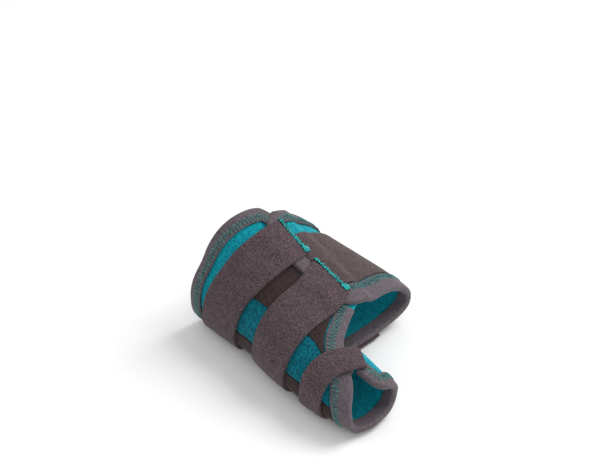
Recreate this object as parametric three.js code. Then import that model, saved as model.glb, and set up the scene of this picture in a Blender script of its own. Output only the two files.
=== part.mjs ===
// Bunion corrector for a left foot, shaped as it is when worn. Millimetres, +Z up.
// Toes point along +X, the big toe side is -Y, and the sole side rests at z = 0.
// Every piece is a layer of cloth that follows one foot form, so each place on it is given
// by a distance from the heel, a turn round the form in degrees, and a height over the form.
// Turns run from the outer side (0) over the instep (90) to the big toe side (180) and the sole (270).
import * as THREE from "three";

// The foot that the brace is cut for.
const FOOT_LENGTH = 240;
const BALL_WIDTH = 96;
const INSTEP_HEIGHT = 84;
const TOE_WIDTH = 36;
const TOE_HEIGHT = 30;

// Cloth walls, and the clearance between two layers.
const WRAP_WALL = 2.0;
const COVER_WALL = 1.0;
const BINDING_WALL = 1.0;
const STRAP_WALL = 2.0;
const CLEARANCE = 0.4;

// Distances from the back of the heel to the edges of the pieces.
const HEM_AT = 76;
const HEM_REACH = 18.5;
const COVER_AT = 109;
const COVER_BOW = 3;
const UPPER_COVER_END = 184;
const JOIN_AT = 157;
const FRONT_REACH = 12.3;
const MOUTH_AT = 201.5;
const MOUTH_RAKE = 19;

// Where the frame's origin lies under the ball strap, from the heel and towards the outer side.
const ORIGIN_AT = 152.5;
const ORIGIN_SIDE = -20;

// The line on the instep where the straps are sewn, and how far the lower end of the wrap
// reaches past it.
const SEAM_SIDE = 3;
const LAP_UNDER = 6;
// Edge of the wrap's upper end: at is a share of the foot's length, side of the ball's width.
const LAP_EDGE = [
  { at: 0.390, side: 0.052 },
  { at: 0.400, side: 0.024 },
  { at: 0.412, side: -0.028 },
  { at: 0.425, side: -0.060 },
  { at: 0.460, side: -0.078 },
  { at: 0.520, side: -0.098 },
  { at: 0.570, side: -0.094 },
];
// Turns that the wrap takes to climb over its own end, that it lies level before that end, and
// that the hem keeps clear of the lap.
const LAP_RAMP = 18;
const LAP_LEVEL = 4;
const LAP_CLEAR = 8;
// Distance from the heel at which the binding of the upper end begins.
const LAP_BOUND_FROM = 97;

// Widths of the bindings that are folded round the edges.
const HEM_WIDTH = 8.5;
const FRONT_WIDTH = 12.5;
const LAP_WIDTH = 8;
// Share of its width that the lap's binding starts with, beside the hem's.
const LAP_MITRE = 0.6;
const SLEEVE_WIDTH = 9;
const MOUTH_WIDTH = 12;

// Straps: width, place along the foot, and how far each slants from there.
const STRAP_WIDTH = 30;
const STRAP_HEEL_AT = 100;
const STRAP_HEEL_SLANT = 15.5;
const STRAP_BALL_AT = 150;
const STRAP_BALL_SLANT = 4.5;
const TOE_STRAP_WIDTH = 17.5;
const TOE_STRAP_AT = 188;
const TOE_STRAP_SLANT = 9;

// Heights of the layers over the foot form.
const COVER_IN = WRAP_WALL + CLEARANCE;
const COVER_OUT = COVER_IN + COVER_WALL;
const TAPE_IN = COVER_IN + CLEARANCE / 4;
const STRAP_IN = COVER_OUT + CLEARANCE;
const STRAP_OUT = STRAP_IN + STRAP_WALL;
const LAP_LIFT = WRAP_WALL + CLEARANCE;
const SOLE_LEVEL = STRAP_OUT;

// Sections of the foot: at is a share of the foot's length, medial, lateral and ridge are
// shares of the ball's width, top and waist are shares of the instep's height.
const FOOT_SECTIONS = [
  { at: 0.210, medial: 0.340, lateral: 0.350, ridge: -0.073, top: 1.190, waist: 0.333, inner: 2.2, outer: 1.8 },
  { at: 0.290, medial: 0.362, lateral: 0.365, ridge: -0.083, top: 0.970, waist: 0.286, inner: 2.2, outer: 1.8 },
  { at: 0.375, medial: 0.388, lateral: 0.405, ridge: -0.094, top: 0.785, waist: 0.250, inner: 2.2, outer: 1.85 },
  { at: 0.460, medial: 0.412, lateral: 0.460, ridge: -0.104, top: 0.660, waist: 0.214, inner: 2.2, outer: 1.95 },
  { at: 0.540, medial: 0.443, lateral: 0.510, ridge: -0.104, top: 0.580, waist: 0.190, inner: 2.2, outer: 1.95 },
  { at: 0.625, medial: 0.475, lateral: 0.550, ridge: -0.125, top: 0.500, waist: 0.167, inner: 2.2, outer: 1.95 },
  { at: 0.710, medial: 0.485, lateral: 0.555, ridge: -0.156, top: 0.430, waist: 0.143, inner: 2.2, outer: 1.9 },
  { at: 0.790, medial: 0.490, lateral: 0.520, ridge: -0.177, top: 0.345, waist: 0.120, inner: 2.2, outer: 1.9 },
];
// Where the foot form ends behind the toes, as a share of its length, and how softly.
const BALL_END = 0.75;
const BALL_END_ROUND = 12;

// Sections of the big toe: side is a share of the ball's width, half of the toe's width,
// middle and rise are shares of its height.
const TOE_SECTIONS = [
  { at: 0.540, side: -0.262, half: 0.500, middle: 0.600, rise: 0.667 },
  { at: 0.625, side: -0.288, half: 0.510, middle: 0.567, rise: 0.633 },
  { at: 0.710, side: -0.305, half: 0.520, middle: 0.500, rise: 0.583 },
  { at: 0.790, side: -0.318, half: 0.535, middle: 0.450, rise: 0.483 },
  { at: 0.875, side: -0.325, half: 0.490, middle: 0.400, rise: 0.380 },
  { at: 0.960, side: -0.335, half: 0.410, middle: 0.360, rise: 0.270 },
];
const TOE_BLEND = 9;
// Superellipse exponents under the foot, and over and under the toe, and how much deeper than
// the flat sole the round form reaches.
const SOLE_SQUARE = 2.5;
const TOE_ROUND = 2.2;
const TOE_SQUARE = 3.0;
const SOLE_DROP = 1.05;
const SOLE_ROUND = 2;
const SPINE_SIDE = 2;

// Hem of the wrap by turn, from its lower end over the instep to its upper end: share of
// HEM_REACH past its place under the sole.
const HEM_EDGE = [
  { at: 80, reach: 1.05 },
  { at: 86, reach: 1.00 },
  { at: 90, reach: 0.82 },
  { at: 94, reach: 0.71 },
  { at: 109, reach: 0.61 },
  { at: 119, reach: 0.51 },
  { at: 133, reach: 0.34 },
  { at: 153, reach: 0.14 },
  { at: 180, reach: 0.02 },
  { at: 225, reach: 0.00 },
  { at: 270, reach: 0.02 },
  { at: 315, reach: 0.16 },
  { at: 345, reach: 0.40 },
  { at: 370, reach: 0.66 },
  { at: 395, reach: 0.88 },
  { at: 417, reach: 1.00 },
  { at: 447, reach: 1.00 },
];
// Front edge of the wrap by turn: share of FRONT_REACH past the join with the sleeve.
const FRONT_EDGE = [
  { at: 80, reach: 0 },
  { at: 240, reach: 0 },
  { at: 248, reach: 0.45 },
  { at: 300, reach: 0.50 },
  { at: 345, reach: 0.55 },
  { at: 379, reach: 0.72 },
  { at: 409, reach: 1.00 },
  { at: 438, reach: 0.94 },
  { at: 451, reach: 0.78 },
  { at: 459, reach: 0.54 },
  { at: 474, reach: 0.35 },
];

// Free edge of the sleeve over the instep: at runs from the join to the mouth, side is a share
// of the ball's width.
const SLEEVE_TOP = [
  { at: 0.00, side: 0.085 },
  { at: 0.20, side: 0.083 },
  { at: 0.25, side: 0.070 },
  { at: 0.35, side: -0.045 },
  { at: 0.46, side: -0.144 },
  { at: 0.59, side: -0.234 },
  { at: 0.80, side: -0.300 },
  { at: 1.00, side: -0.335 },
];
// Other edge of the sleeve: along the sole, up between the toes, and along the flap.
const SLEEVE_FLAP = [
  { at: 0.00, turn: 315 },
  { at: 0.50, turn: 319 },
  { at: 0.58, turn: 331 },
  { at: 0.64, turn: 356 },
  { at: 0.70, turn: 390 },
  { at: 0.77, turn: 420 },
  { at: 0.87, turn: 438 },
  { at: 1.00, turn: 444 },
];
// Mouth of the sleeve by turn round the toe: share of MOUTH_RAKE past the mouth's top.
const MOUTH_EDGE = [
  { at: 104, reach: 0.00 },
  { at: 126, reach: 0.38 },
  { at: 152, reach: 0.67 },
  { at: 180, reach: 0.83 },
  { at: 215, reach: 0.88 },
  { at: 245, reach: 0.97 },
  { at: 270, reach: 1.00 },
  { at: 300, reach: 0.95 },
  { at: 340, reach: 0.87 },
  { at: 380, reach: 0.95 },
  { at: 410, reach: 1.00 },
  { at: 428, reach: 0.87 },
  { at: 437, reach: 0.65 },
  { at: 444, reach: 0.12 },
];

// Splint channel on the big toe side: turns of its upper and lower edge round the toe's line.
const CHANNEL = [
  { at: 0.43, upper: 122, lower: 186 },
  { at: 0.54, upper: 121, lower: 184 },
  { at: 0.65, upper: 114, lower: 180 },
  { at: 0.73, upper: 109, lower: 176 },
  { at: 0.80, upper: 125, lower: 177 },
  { at: 0.86, upper: 137, lower: 181 },
  { at: 0.90, upper: 139, lower: 183 },
];
// How far the covers run under the sole, as a share of the ball's width.
const COVER_SOLE_SIDE = -0.23;

// Routes of the straps by turn, up to their hidden ends: share of the slant.
const STRAP_HEEL_ROUTE = [
  { at: 85, slant: 0.88 },
  { at: 108, slant: 1.00 },
  { at: 128, slant: 0.92 },
  { at: 144, slant: 0.77 },
  { at: 157, slant: 0.58 },
  { at: 180, slant: 0.32 },
  { at: 205, slant: 0.08 },
  { at: 250, slant: 0.00 },
  { at: 332, slant: 0.00 },
];
const STRAP_BALL_ROUTE = [
  { at: 88, slant: -0.75 },
  { at: 106, slant: 0.45 },
  { at: 126, slant: 1.00 },
  { at: 155, slant: 1.00 },
  { at: 170, slant: 0.85 },
  { at: 182, slant: 0.50 },
  { at: 205, slant: 0.08 },
  { at: 250, slant: 0.00 },
  { at: 332, slant: 0.00 },
];
const TOE_STRAP_ROUTE = [
  { at: 58, slant: 1.25 },
  { at: 75, slant: 1.00 },
  { at: 99, slant: 0.73 },
  { at: 116, slant: 0.48 },
  { at: 136, slant: 0.33 },
  { at: 180, slant: 0.24 },
  { at: 212, slant: 0.08 },
  { at: 250, slant: 0.00 },
  { at: 322, slant: 0.00 },
];

// Turn at which the front binding begins under the sole, and distance from the heel at which
// the sleeve's binding begins.
const FRONT_BOUND_TURN = 252;
const SLEEVE_BOUND_FROM = 171;
// Stops along the sleeve's binding over which it widens at the mouth.
const WIDEN_STOPS = 5;
// Half of the gap between the channel and a cover, in turns, and the gap between a cover and a
// binding.
const SEAM_TURN = 0.3;
const SEAM_GAP = 1;
// Shares of a binding's wall that its fold is cut back by, inside and outside.
const FOLD_INSIDE = 0.4;
const FOLD_OUTSIDE = 0.7;

// Steps between stops round the form, closer where it bends sharply beside the sole.
const TURN_STEPS = [
  { from: 0, step: 5 },
  { from: 8, step: 7 },
  { from: 186, step: 2.7 },
  { from: 211, step: 11 },
  { from: 328.01, step: 5 },
];
const SHORTEST_STEP = 3;
// Turns near the wrap's lower end in which the stops are closest.
const UNDER_TURNS = 12;
// Turns to look between for a side of the form: over the instep, and under the sole.
const OVER_INSTEP = [15, 165];
const UNDER_SOLE = [200, 345];

const RADIANS = Math.PI / 180;
const mix = (a, b, t) => a + (b - a) * t;
const clamp = (value, low, high) => Math.min(Math.max(value, low), high);

function ease(from, to, value) {
  const t = clamp((value - from) / (to - from), 0, 1);
  return t * t * (3 - 2 * t);
}

// Smooth curve through one column of a table, level past its ends.
function follow(rows, column, at) {
  const last = rows.length - 1;
  let low = 0;
  while (low < last - 1 && at > rows[low + 1].at) low += 1;
  const a = rows[low];
  const b = rows[low + 1];
  const span = b.at - a.at;
  const t = clamp((at - a.at) / span, 0, 1);
  const slope = (index) => {
    const before = rows[Math.max(index - 1, 0)];
    const after = rows[Math.min(index + 1, last)];
    return ((after[column] - before[column]) / (after.at - before.at)) * span;
  };
  const t2 = t * t;
  const t3 = t2 * t;
  return (
    a[column] * (2 * t3 - 3 * t2 + 1) + b[column] * (3 * t2 - 2 * t3)
    + slope(low) * (t3 - 2 * t2 + t) + slope(low + 1) * (t3 - t2)
  );
}

// All columns of both section tables at one distance from the heel, in millimetres.
const knownSections = new Map();
function sectionAt(x) {
  if (!knownSections.has(x)) {
    const at = x / FOOT_LENGTH;
    const foot = (column) => follow(FOOT_SECTIONS, column, at);
    const toe = (column) => follow(TOE_SECTIONS, column, at);
    knownSections.set(x, {
      medial: -foot("medial") * BALL_WIDTH,
      lateral: foot("lateral") * BALL_WIDTH,
      ridge: foot("ridge") * BALL_WIDTH,
      top: foot("top") * INSTEP_HEIGHT,
      waist: foot("waist") * INSTEP_HEIGHT,
      inner: foot("inner"),
      outer: foot("outer"),
      toeSide: toe("side") * BALL_WIDTH,
      toeHalf: toe("half") * TOE_WIDTH,
      toeMiddle: toe("middle") * TOE_HEIGHT,
      toeRise: toe("rise") * TOE_HEIGHT,
    });
  }
  return knownSections.get(x);
}

function softMin(a, b, width) {
  const h = Math.max(width - Math.abs(a - b), 0) / width;
  return Math.min(a, b) - (h * h * width) / 4;
}

function softMax(a, b, width) {
  return -softMin(-a, -b, width);
}

// Distance to a superellipse with the given half axes and exponent, near enough for offsets.
function oval(dy, dz, halfWidth, halfHeight, exponent) {
  const q = (
    (Math.abs(dy) / halfWidth) ** exponent + (Math.abs(dz) / halfHeight) ** exponent + 1e-9
  ) ** (1 / exponent);
  return Math.hypot(dy, dz) * (1 - 1 / q);
}

// The foot form without its flat sole: negative inside, heights are measured from the sole.
function roundForm(x, y, z) {
  const s = sectionAt(x);
  const dy = y - s.ridge;
  const dz = z - SOLE_LEVEL - s.waist;
  const half = dy < 0 ? s.ridge - s.medial : s.lateral - s.ridge;
  const height = dz > 0 ? s.top - s.waist : s.waist * SOLE_DROP;
  const upper = dy < 0 ? s.inner : s.outer;
  const foot = softMax(
    oval(dy, dz, half, height, dz > 0 ? upper : SOLE_SQUARE),
    x - BALL_END * FOOT_LENGTH,
    BALL_END_ROUND,
  );
  const toeDz = z - SOLE_LEVEL - s.toeMiddle;
  const toeHeight = toeDz > 0 ? s.toeRise : s.toeMiddle * SOLE_DROP;
  const toe = oval(y - s.toeSide, toeDz, s.toeHalf, toeHeight, toeDz > 0 ? TOE_ROUND : TOE_SQUARE);
  return softMin(foot, toe, TOE_BLEND);
}

const PROBE = 0.25;
function overForm([x, y, z]) {
  const slope = Math.hypot(
    roundForm(x + PROBE, y, z) - roundForm(x - PROBE, y, z),
    roundForm(x, y + PROBE, z) - roundForm(x, y - PROBE, z),
    roundForm(x, y, z + PROBE) - roundForm(x, y, z - PROBE),
  ) / (2 * PROBE);
  return softMax(roundForm(x, y, z) / Math.max(slope, 0.3), SOLE_LEVEL - z, SOLE_ROUND);
}

function outward([x, y, z]) {
  const n = [
    overForm([x + PROBE, y, z]) - overForm([x - PROBE, y, z]),
    overForm([x, y + PROBE, z]) - overForm([x, y - PROBE, z]),
    overForm([x, y, z + PROBE]) - overForm([x, y, z - PROBE]),
  ];
  const length = Math.hypot(...n);
  return n.map((value) => value / length);
}

const along = (place, direction, distance) => place.map((value, k) => value + direction[k] * distance);

// Moves a place straight out of the form, or into it, until it lies at the given height.
function settle(place, height) {
  let moved = place;
  for (let step = 0; step < 4; step += 1) {
    moved = along(moved, outward(moved), height - overForm(moved));
  }
  return moved;
}

// Two lines inside the form that turns are measured round.
const footSpine = (x) => [SPINE_SIDE, SOLE_LEVEL + sectionAt(x).waist];
const toeSpine = (x) => [sectionAt(x).toeSide, SOLE_LEVEL + sectionAt(x).toeMiddle];

// The place on the outer face of the first layer at a distance from the heel and a turn.
function spot(x, turn, spine) {
  const [y0, z0] = spine(x);
  const direction = [0, Math.cos(turn * RADIANS), Math.sin(turn * RADIANS)];
  const start = [x, y0, z0];
  let inside = 0;
  let outside = 2 * BALL_WIDTH;
  for (let reach = 4; reach < outside; reach += 2) {
    if (overForm(along(start, direction, reach)) > WRAP_WALL) outside = reach;
    else inside = reach;
  }
  for (let step = 0; step < 16; step += 1) {
    const middle = (inside + outside) / 2;
    if (overForm(along(start, direction, middle)) > WRAP_WALL) outside = middle;
    else inside = middle;
  }
  return along(start, direction, inside);
}

// The turn at which a section passes a given side (y), found by halving between two turns that
// lie on either side of it: over the instep, or under the sole.
function turnWhere(x, spine, side, between) {
  let [a, b] = between;
  const before = spot(x, a, spine)[1] < side;
  for (let step = 0; step < 14; step += 1) {
    const middle = (a + b) / 2;
    if ((spot(x, middle, spine)[1] < side) === before) a = middle;
    else b = middle;
  }
  return (a + b) / 2;
}
const overInstep = (x, side, spine) => turnWhere(x, spine, side, OVER_INSTEP);
const underSole = (x, side, spine) => turnWhere(x, spine, side, UNDER_SOLE);

// Closed body from its corner places and triangles, with its faces turned outwards.
function solid(places, faces) {
  let volume = 0;
  for (let f = 0; f < faces.length; f += 3) {
    const [a, b, c] = [places[faces[f]], places[faces[f + 1]], places[faces[f + 2]]];
    volume += a[0] * (b[1] * c[2] - b[2] * c[1])
      + a[1] * (b[2] * c[0] - b[0] * c[2])
      + a[2] * (b[0] * c[1] - b[1] * c[0]);
  }
  const ordered = volume < 0 ? faces.slice().reverse() : faces;
  const geometry = new THREE.BufferGeometry();
  const centred = places.flatMap(([x, y, z]) => [x - ORIGIN_AT, y - ORIGIN_SIDE, z]);
  geometry.setAttribute("position", new THREE.Float32BufferAttribute(centred, 3));
  geometry.setIndex(ordered);
  geometry.computeVertexNormals();
  return geometry;
}

// A layer of cloth: rows of places on the form, each given two heights.
function layer(spots, low, high, lift = () => 0) {
  const rows = spots.length;
  const columns = spots[0].length;
  const raised = (base) => spots.flatMap((row, r) => row.map(
    (place, c) => settle(along(place, outward(place), base - WRAP_WALL + lift(r, c)), base + lift(r, c)),
  ));
  const places = [...raised(low), ...raised(high)];
  const under = (r, c) => r * columns + c;
  const over = (r, c) => rows * columns + under(r, c);
  const faces = [];
  const quad = (a, b, c, d) => faces.push(a, b, c, a, c, d);
  for (let r = 0; r < rows - 1; r += 1) {
    for (let c = 0; c < columns - 1; c += 1) {
      quad(over(r, c), over(r + 1, c), over(r + 1, c + 1), over(r, c + 1));
      quad(under(r, c), under(r, c + 1), under(r + 1, c + 1), under(r + 1, c));
    }
    quad(under(r, 0), under(r + 1, 0), over(r + 1, 0), over(r, 0));
    quad(over(r, columns - 1), over(r + 1, columns - 1), under(r + 1, columns - 1), under(r, columns - 1));
  }
  for (let c = 0; c < columns - 1; c += 1) {
    quad(over(0, c), over(0, c + 1), under(0, c + 1), under(0, c));
    quad(under(rows - 1, c), under(rows - 1, c + 1), over(rows - 1, c + 1), over(rows - 1, c));
  }
  return solid(places, faces);
}

// At each place of a line on the form, the direction across it: to the right of the way, seen
// from outside, where facing is 1, and to the left where it is -1.
function acrossLine(line, facing) {
  return line.map((place, index) => {
    const before = new THREE.Vector3(...line[Math.max(index - 1, 0)]);
    const after = new THREE.Vector3(...line[Math.min(index + 1, line.length - 1)]);
    const sideways = new THREE.Vector3(...outward(place)).cross(after.sub(before));
    return sideways.normalize().multiplyScalar(facing).toArray();
  });
}

// A strap or binding: a profile of [across, height] pairs carried along a line of places.
function band(line, profileAt, facing, lift = () => 0) {
  const across = acrossLine(line, facing);
  const count = profileAt(0).length;
  const places = line.flatMap((place, index) => profileAt(index).map(([distance, height]) => {
    const base = settle(along(place, across[index], distance), WRAP_WALL);
    const top = height + lift(index);
    return settle(along(base, outward(base), top - WRAP_WALL), top);
  }));
  const faces = [];
  for (let index = 0; index < line.length - 1; index += 1) {
    for (let k = 0; k < count; k += 1) {
      const a = index * count + k;
      const b = index * count + ((k + 1) % count);
      faces.push(a, b, b + count, a, b + count, a + count);
    }
  }
  const outline = profileAt(0).map(([distance, height]) => new THREE.Vector2(distance, height));
  const cap = THREE.ShapeUtils.triangulateShape(outline, []);
  const turnsLeft = THREE.ShapeUtils.isClockWise(outline) ? -1 : 1;
  const end = (line.length - 1) * count;
  for (const [a, b, c] of cap) {
    const [p, q, r] = turnsLeft > 0 ? [a, b, c] : [c, b, a];
    faces.push(p, r, q, end + p, end + q, end + r);
  }
  return solid(places, faces);
}

// Profile of a tape that lies on a layer near its edge and is folded down over the edge, with
// as many strips across as it needs to follow the form.
function foldedTape(width, strips) {
  const past = CLEARANCE + BINDING_WALL;
  const leaf = steps(-width, CLEARANCE, (width + CLEARANCE) / strips);
  return [
    ...leaf.map((distance) => [distance, TAPE_IN]),
    [CLEARANCE, 0],
    [past, BINDING_WALL * FOLD_INSIDE],
    [past, COVER_OUT - BINDING_WALL * FOLD_OUTSIDE],
    ...leaf.map((distance) => [distance, COVER_OUT]).reverse(),
  ];
}

// Profile of a flat strap, with as many strips across as it needs to follow the form.
function flatStrap(width, strips) {
  const under = [];
  for (let k = 0; k <= strips; k += 1) under.push([mix(-width / 2, width / 2, k / strips), STRAP_IN]);
  const over = under.map(([distance]) => [distance, STRAP_OUT]).reverse();
  return [...under, ...over];
}

function steps(from, to, longest) {
  const count = Math.max(1, Math.ceil(Math.abs(to - from) / longest));
  return Array.from({ length: count + 1 }, (_, k) => mix(from, to, k / count));
}

// Stops round the form between two turns.
function turnStops(from, to) {
  const stops = [from];
  let turn = from;
  while (turn < to) {
    const place = turn % 360;
    turn += TURN_STEPS.filter((stretch) => stretch.from <= place).pop().step;
    if (turn < to - SHORTEST_STEP) stops.push(turn);
  }
  stops.push(to);
  return stops;
}

// Rows and columns of places for a sheet. The sheet runs lengthwise between two edges, and round
// the form between two turns, which may both change with the distance from the heel.
function sheet({ back, front, start, end, spine, lengthwise, round, middle }) {
  return lengthwise.map((share) => round.map((part) => {
    const near = mix(start(middle), end(middle), part);
    const x = mix(back(near), front(near), share);
    const turn = mix(start(x), end(x), part);
    return { x, turn, place: spot(x, turn, spine) };
  }));
}
const placesOf = (grid) => grid.map((row) => row.map(({ place }) => place));
const sharesOf = (turns) => turns.map((turn) => (turn - turns[0]) / (turns[turns.length - 1] - turns[0]));

// A line moved sideways over the form, as distances from the heel and turns round a spine.
function beside(line, facing, distanceAt, spine) {
  const across = acrossLine(line.map(({ place }) => place), facing);
  return line.map(({ turn, place }, index) => {
    const moved = settle(along(place, across[index], distanceAt(index)), WRAP_WALL);
    const [y0, z0] = spine(moved[0]);
    const found = Math.atan2(moved[2] - z0, moved[1] - y0) / RADIANS;
    return { x: moved[0], at: found + 360 * Math.round((turn - found) / 360) };
  });
}

// Edges of the wrap: the hem behind, the front, and its two ends on the instep.
const hemEdge = (turn) => HEM_AT + HEM_REACH * follow(HEM_EDGE, "reach", turn);
const frontEdge = (turn) => JOIN_AT + FRONT_REACH * follow(FRONT_EDGE, "reach", turn) - CLEARANCE / 2;
const lapUnder = (x) => overInstep(x, SEAM_SIDE + LAP_UNDER, footSpine);
const lapSide = (x) => follow(LAP_EDGE, "side", x / FOOT_LENGTH) * BALL_WIDTH;
const lapOver = (x) => 360 + overInstep(x, lapSide(x), footSpine);
function lapLift(x, turn) {
  const under = lapUnder(x) + 360;
  return LAP_LIFT * ease(under - LAP_RAMP, under - LAP_LEVEL, turn);
}
const WRAP_MIDDLE = mix(HEM_AT, JOIN_AT, 0.5);

// The lift of each place of a grid or line over the end of the wrap that lies beneath.
const gridLift = (grid) => {
  const lifts = grid.map((row) => row.map(({ x, turn }) => lapLift(x, turn)));
  return (r, c) => lifts[r][c];
};
const lineLift = (line) => {
  const lifts = line.map(({ x, turn }) => lapLift(x, turn));
  return (index) => lifts[index];
};

const WRAP_GRID = sheet({
  back: hemEdge,
  front: frontEdge,
  start: lapUnder,
  end: lapOver,
  spine: footSpine,
  lengthwise: [0, 0.05, 0.11, ...steps(0.2, 1, 0.1)],
  round: sharesOf([
    ...steps(lapUnder(WRAP_MIDDLE), lapUnder(WRAP_MIDDLE) + UNDER_TURNS, SHORTEST_STEP),
    ...turnStops(lapUnder(WRAP_MIDDLE) + UNDER_TURNS, lapOver(WRAP_MIDDLE)).slice(1),
  ]),
  middle: WRAP_MIDDLE,
});
const midfootWrap = () => layer(placesOf(WRAP_GRID), 0, WRAP_WALL, gridLift(WRAP_GRID));

// The sleeve runs round the toe from its free edge on the instep to the end of its flap.
const sleeveShare = (x) => (x - JOIN_AT) / (MOUTH_AT - JOIN_AT);
const sleeveTop = (x) => overInstep(x, follow(SLEEVE_TOP, "side", sleeveShare(x)) * BALL_WIDTH, toeSpine);
const sleeveFlap = (x) => follow(SLEEVE_FLAP, "turn", sleeveShare(x));
const SLEEVE_GRID = sheet({
  back: () => JOIN_AT + CLEARANCE / 2,
  front: (turn) => MOUTH_AT + MOUTH_RAKE * follow(MOUTH_EDGE, "reach", turn),
  start: sleeveTop,
  end: sleeveFlap,
  spine: toeSpine,
  lengthwise: [0, 0.11, 0.22, 0.28, 0.34, 0.4, 0.46, 0.53, 0.6, 0.67, 0.75, 0.84, 0.92, 1],
  round: [...steps(0, 0.93, 0.036), 0.95, 0.97, 0.985, 1],
  middle: MOUTH_AT,
});
const toeSleeve = () => layer(placesOf(SLEEVE_GRID), 0, WRAP_WALL);

// Lines along the edges that are bound.
const lapCorner = (edge) => lapOver(edge(lapOver(WRAP_MIDDLE)));
const hemLine = WRAP_GRID[0].filter(({ turn }) => turn > lapCorner(hemEdge) - 360 + LAP_CLEAR);
const frontLine = WRAP_GRID[WRAP_GRID.length - 1].filter(({ turn }) => turn > FRONT_BOUND_TURN);
const lapEnd = frontEdge(lapCorner(frontEdge)) - FRONT_WIDTH - BINDING_WALL;
const lapLine = WRAP_GRID.map((row) => row[row.length - 1]).filter(({ x }) => (
  x > LAP_BOUND_FROM && x < lapEnd
));
const lapWidth = (index) => LAP_WIDTH * (index === 0 ? LAP_MITRE : 1);

// The sleeve's bound edge: from the front of the wrap to the mouth, then round it to the flap.
const sleeveRim = SLEEVE_GRID.map((row) => row[0]).filter(({ x }) => x > SLEEVE_BOUND_FROM);
const mouthRim = SLEEVE_GRID[SLEEVE_GRID.length - 1].slice(1);
const sleeveLine = [...sleeveRim, ...mouthRim];
const widenedAt = sleeveRim.length + WIDEN_STOPS;
const sleeveWidth = (index) => mix(SLEEVE_WIDTH, MOUTH_WIDTH, ease(0, widenedAt, index));

const bind = (line, width, strips, facing, lift) => (
  band(line.map(({ place }) => place), (index) => foldedTape(width(index), strips), facing, lift)
);
const hemBinding = () => bind(hemLine, () => HEM_WIDTH, 1, -1, lineLift(hemLine));
const frontBinding = () => bind(frontLine, () => FRONT_WIDTH, 2, 1, lineLift(frontLine));
const lapBinding = () => bind(lapLine, lapWidth, 1, -1, () => LAP_LIFT);
const sleeveBinding = () => bind(sleeveLine, sleeveWidth, 3, 1);

// The cover of the outer side and the sole, from the binding of the lap to the big toe side.
const frontInner = beside(frontLine, 1, () => -(FRONT_WIDTH + SEAM_GAP), footSpine);
function lateralCover() {
  const start = (x) => underSole(x, COVER_SOLE_SIDE * BALL_WIDTH + CLEARANCE, footSpine);
  const end = (x) => 360 + overInstep(x, lapSide(x) + LAP_WIDTH + 2 * CLEARANCE, footSpine);
  const grid = sheet({
    back: (turn) => COVER_AT + COVER_BOW * Math.sin(turn * RADIANS),
    front: (turn) => Math.min(follow(frontInner, "x", turn), JOIN_AT - CLEARANCE),
    start,
    end,
    spine: footSpine,
    lengthwise: steps(0, 1, 0.15),
    round: sharesOf(turnStops(start(WRAP_MIDDLE), end(WRAP_MIDDLE))),
    middle: WRAP_MIDDLE,
  });
  return layer(placesOf(grid), COVER_IN, COVER_OUT, gridLift(grid));
}

// The covers of the big toe side, above and below the splint channel, and the channel itself.
const rimInner = beside(sleeveLine, 1, (index) => -(sleeveWidth(index) + SEAM_GAP), toeSpine);
const mouthInner = rimInner.slice(sleeveRim.length - 1);
let lowestTurn = 0;
const topInner = rimInner.filter(({ at }) => at < 180).sort((a, b) => a.x - b.x).map(({ x, at }) => {
  lowestTurn = Math.max(lowestTurn, at);
  return { at: x, turn: lowestTurn };
});
const besideRim = (x) => (x < topInner[0].at ? 0 : follow(topInner, "turn", x));
const besideLap = (x) => overInstep(x, lapSide(x) - 2 * BINDING_WALL, toeSpine);
const coverTop = (x) => Math.max(besideLap(x), besideRim(x));
const channelUpper = (x) => Math.max(follow(CHANNEL, "upper", x / FOOT_LENGTH), besideRim(x));
const channelLower = (x) => follow(CHANNEL, "lower", x / FOOT_LENGTH);

function innerSheet(start, end, front, round) {
  const grid = sheet({
    back: () => COVER_AT,
    front,
    start,
    end,
    spine: toeSpine,
    lengthwise: [...steps(0, 0.84, 0.077), 0.89, 0.93, 0.965, 1],
    round,
    middle: MOUTH_AT,
  });
  return layer(placesOf(grid), COVER_IN, COVER_OUT);
}
const besideMouth = (turn) => follow(mouthInner, "x", turn);
const upperCover = () => innerSheet(
  coverTop,
  (x) => channelUpper(x) - SEAM_TURN,
  () => UPPER_COVER_END,
  steps(0, 1, 0.1),
);
const channel = () => innerSheet(
  (x) => channelUpper(x) + SEAM_TURN,
  (x) => channelLower(x) - SEAM_TURN,
  besideMouth,
  steps(0, 1, 0.13),
);
const lowerCover = () => innerSheet(
  (x) => channelLower(x) + SEAM_TURN,
  (x) => underSole(x, COVER_SOLE_SIDE * BALL_WIDTH, toeSpine),
  besideMouth,
  [0, 0.1, 0.18, 0.25, 0.32, 0.39, 0.46, 0.53, 0.6, 0.7, 0.84, 1],
);

// Lines of places along an edge of the form.
function edgeLine(turns, edge, spine) {
  return turns.map((turn) => {
    const x = edge(turn);
    return { x, turn, place: spot(x, turn, spine) };
  });
}

// Straps: sewn to the lap on the instep, down the big toe side and under the sole.
function strap(at, slant, route) {
  const from = overInstep(at, SEAM_SIDE, footSpine);
  const line = edgeLine(
    turnStops(from, route[route.length - 1].at),
    (turn) => at + slant * follow(route, "slant", turn),
    footSpine,
  );
  const edge = ({ x }) => lapOver(x) - 360;
  const lift = line.map((stop) => LAP_LIFT * (1 - ease(edge(stop) + LAP_LEVEL, edge(stop) + LAP_RAMP, stop.turn)));
  const profile = flatStrap(STRAP_WIDTH, 4);
  return band(line.map(({ place }) => place), () => profile, 1, (index) => lift[index]);
}

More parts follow.
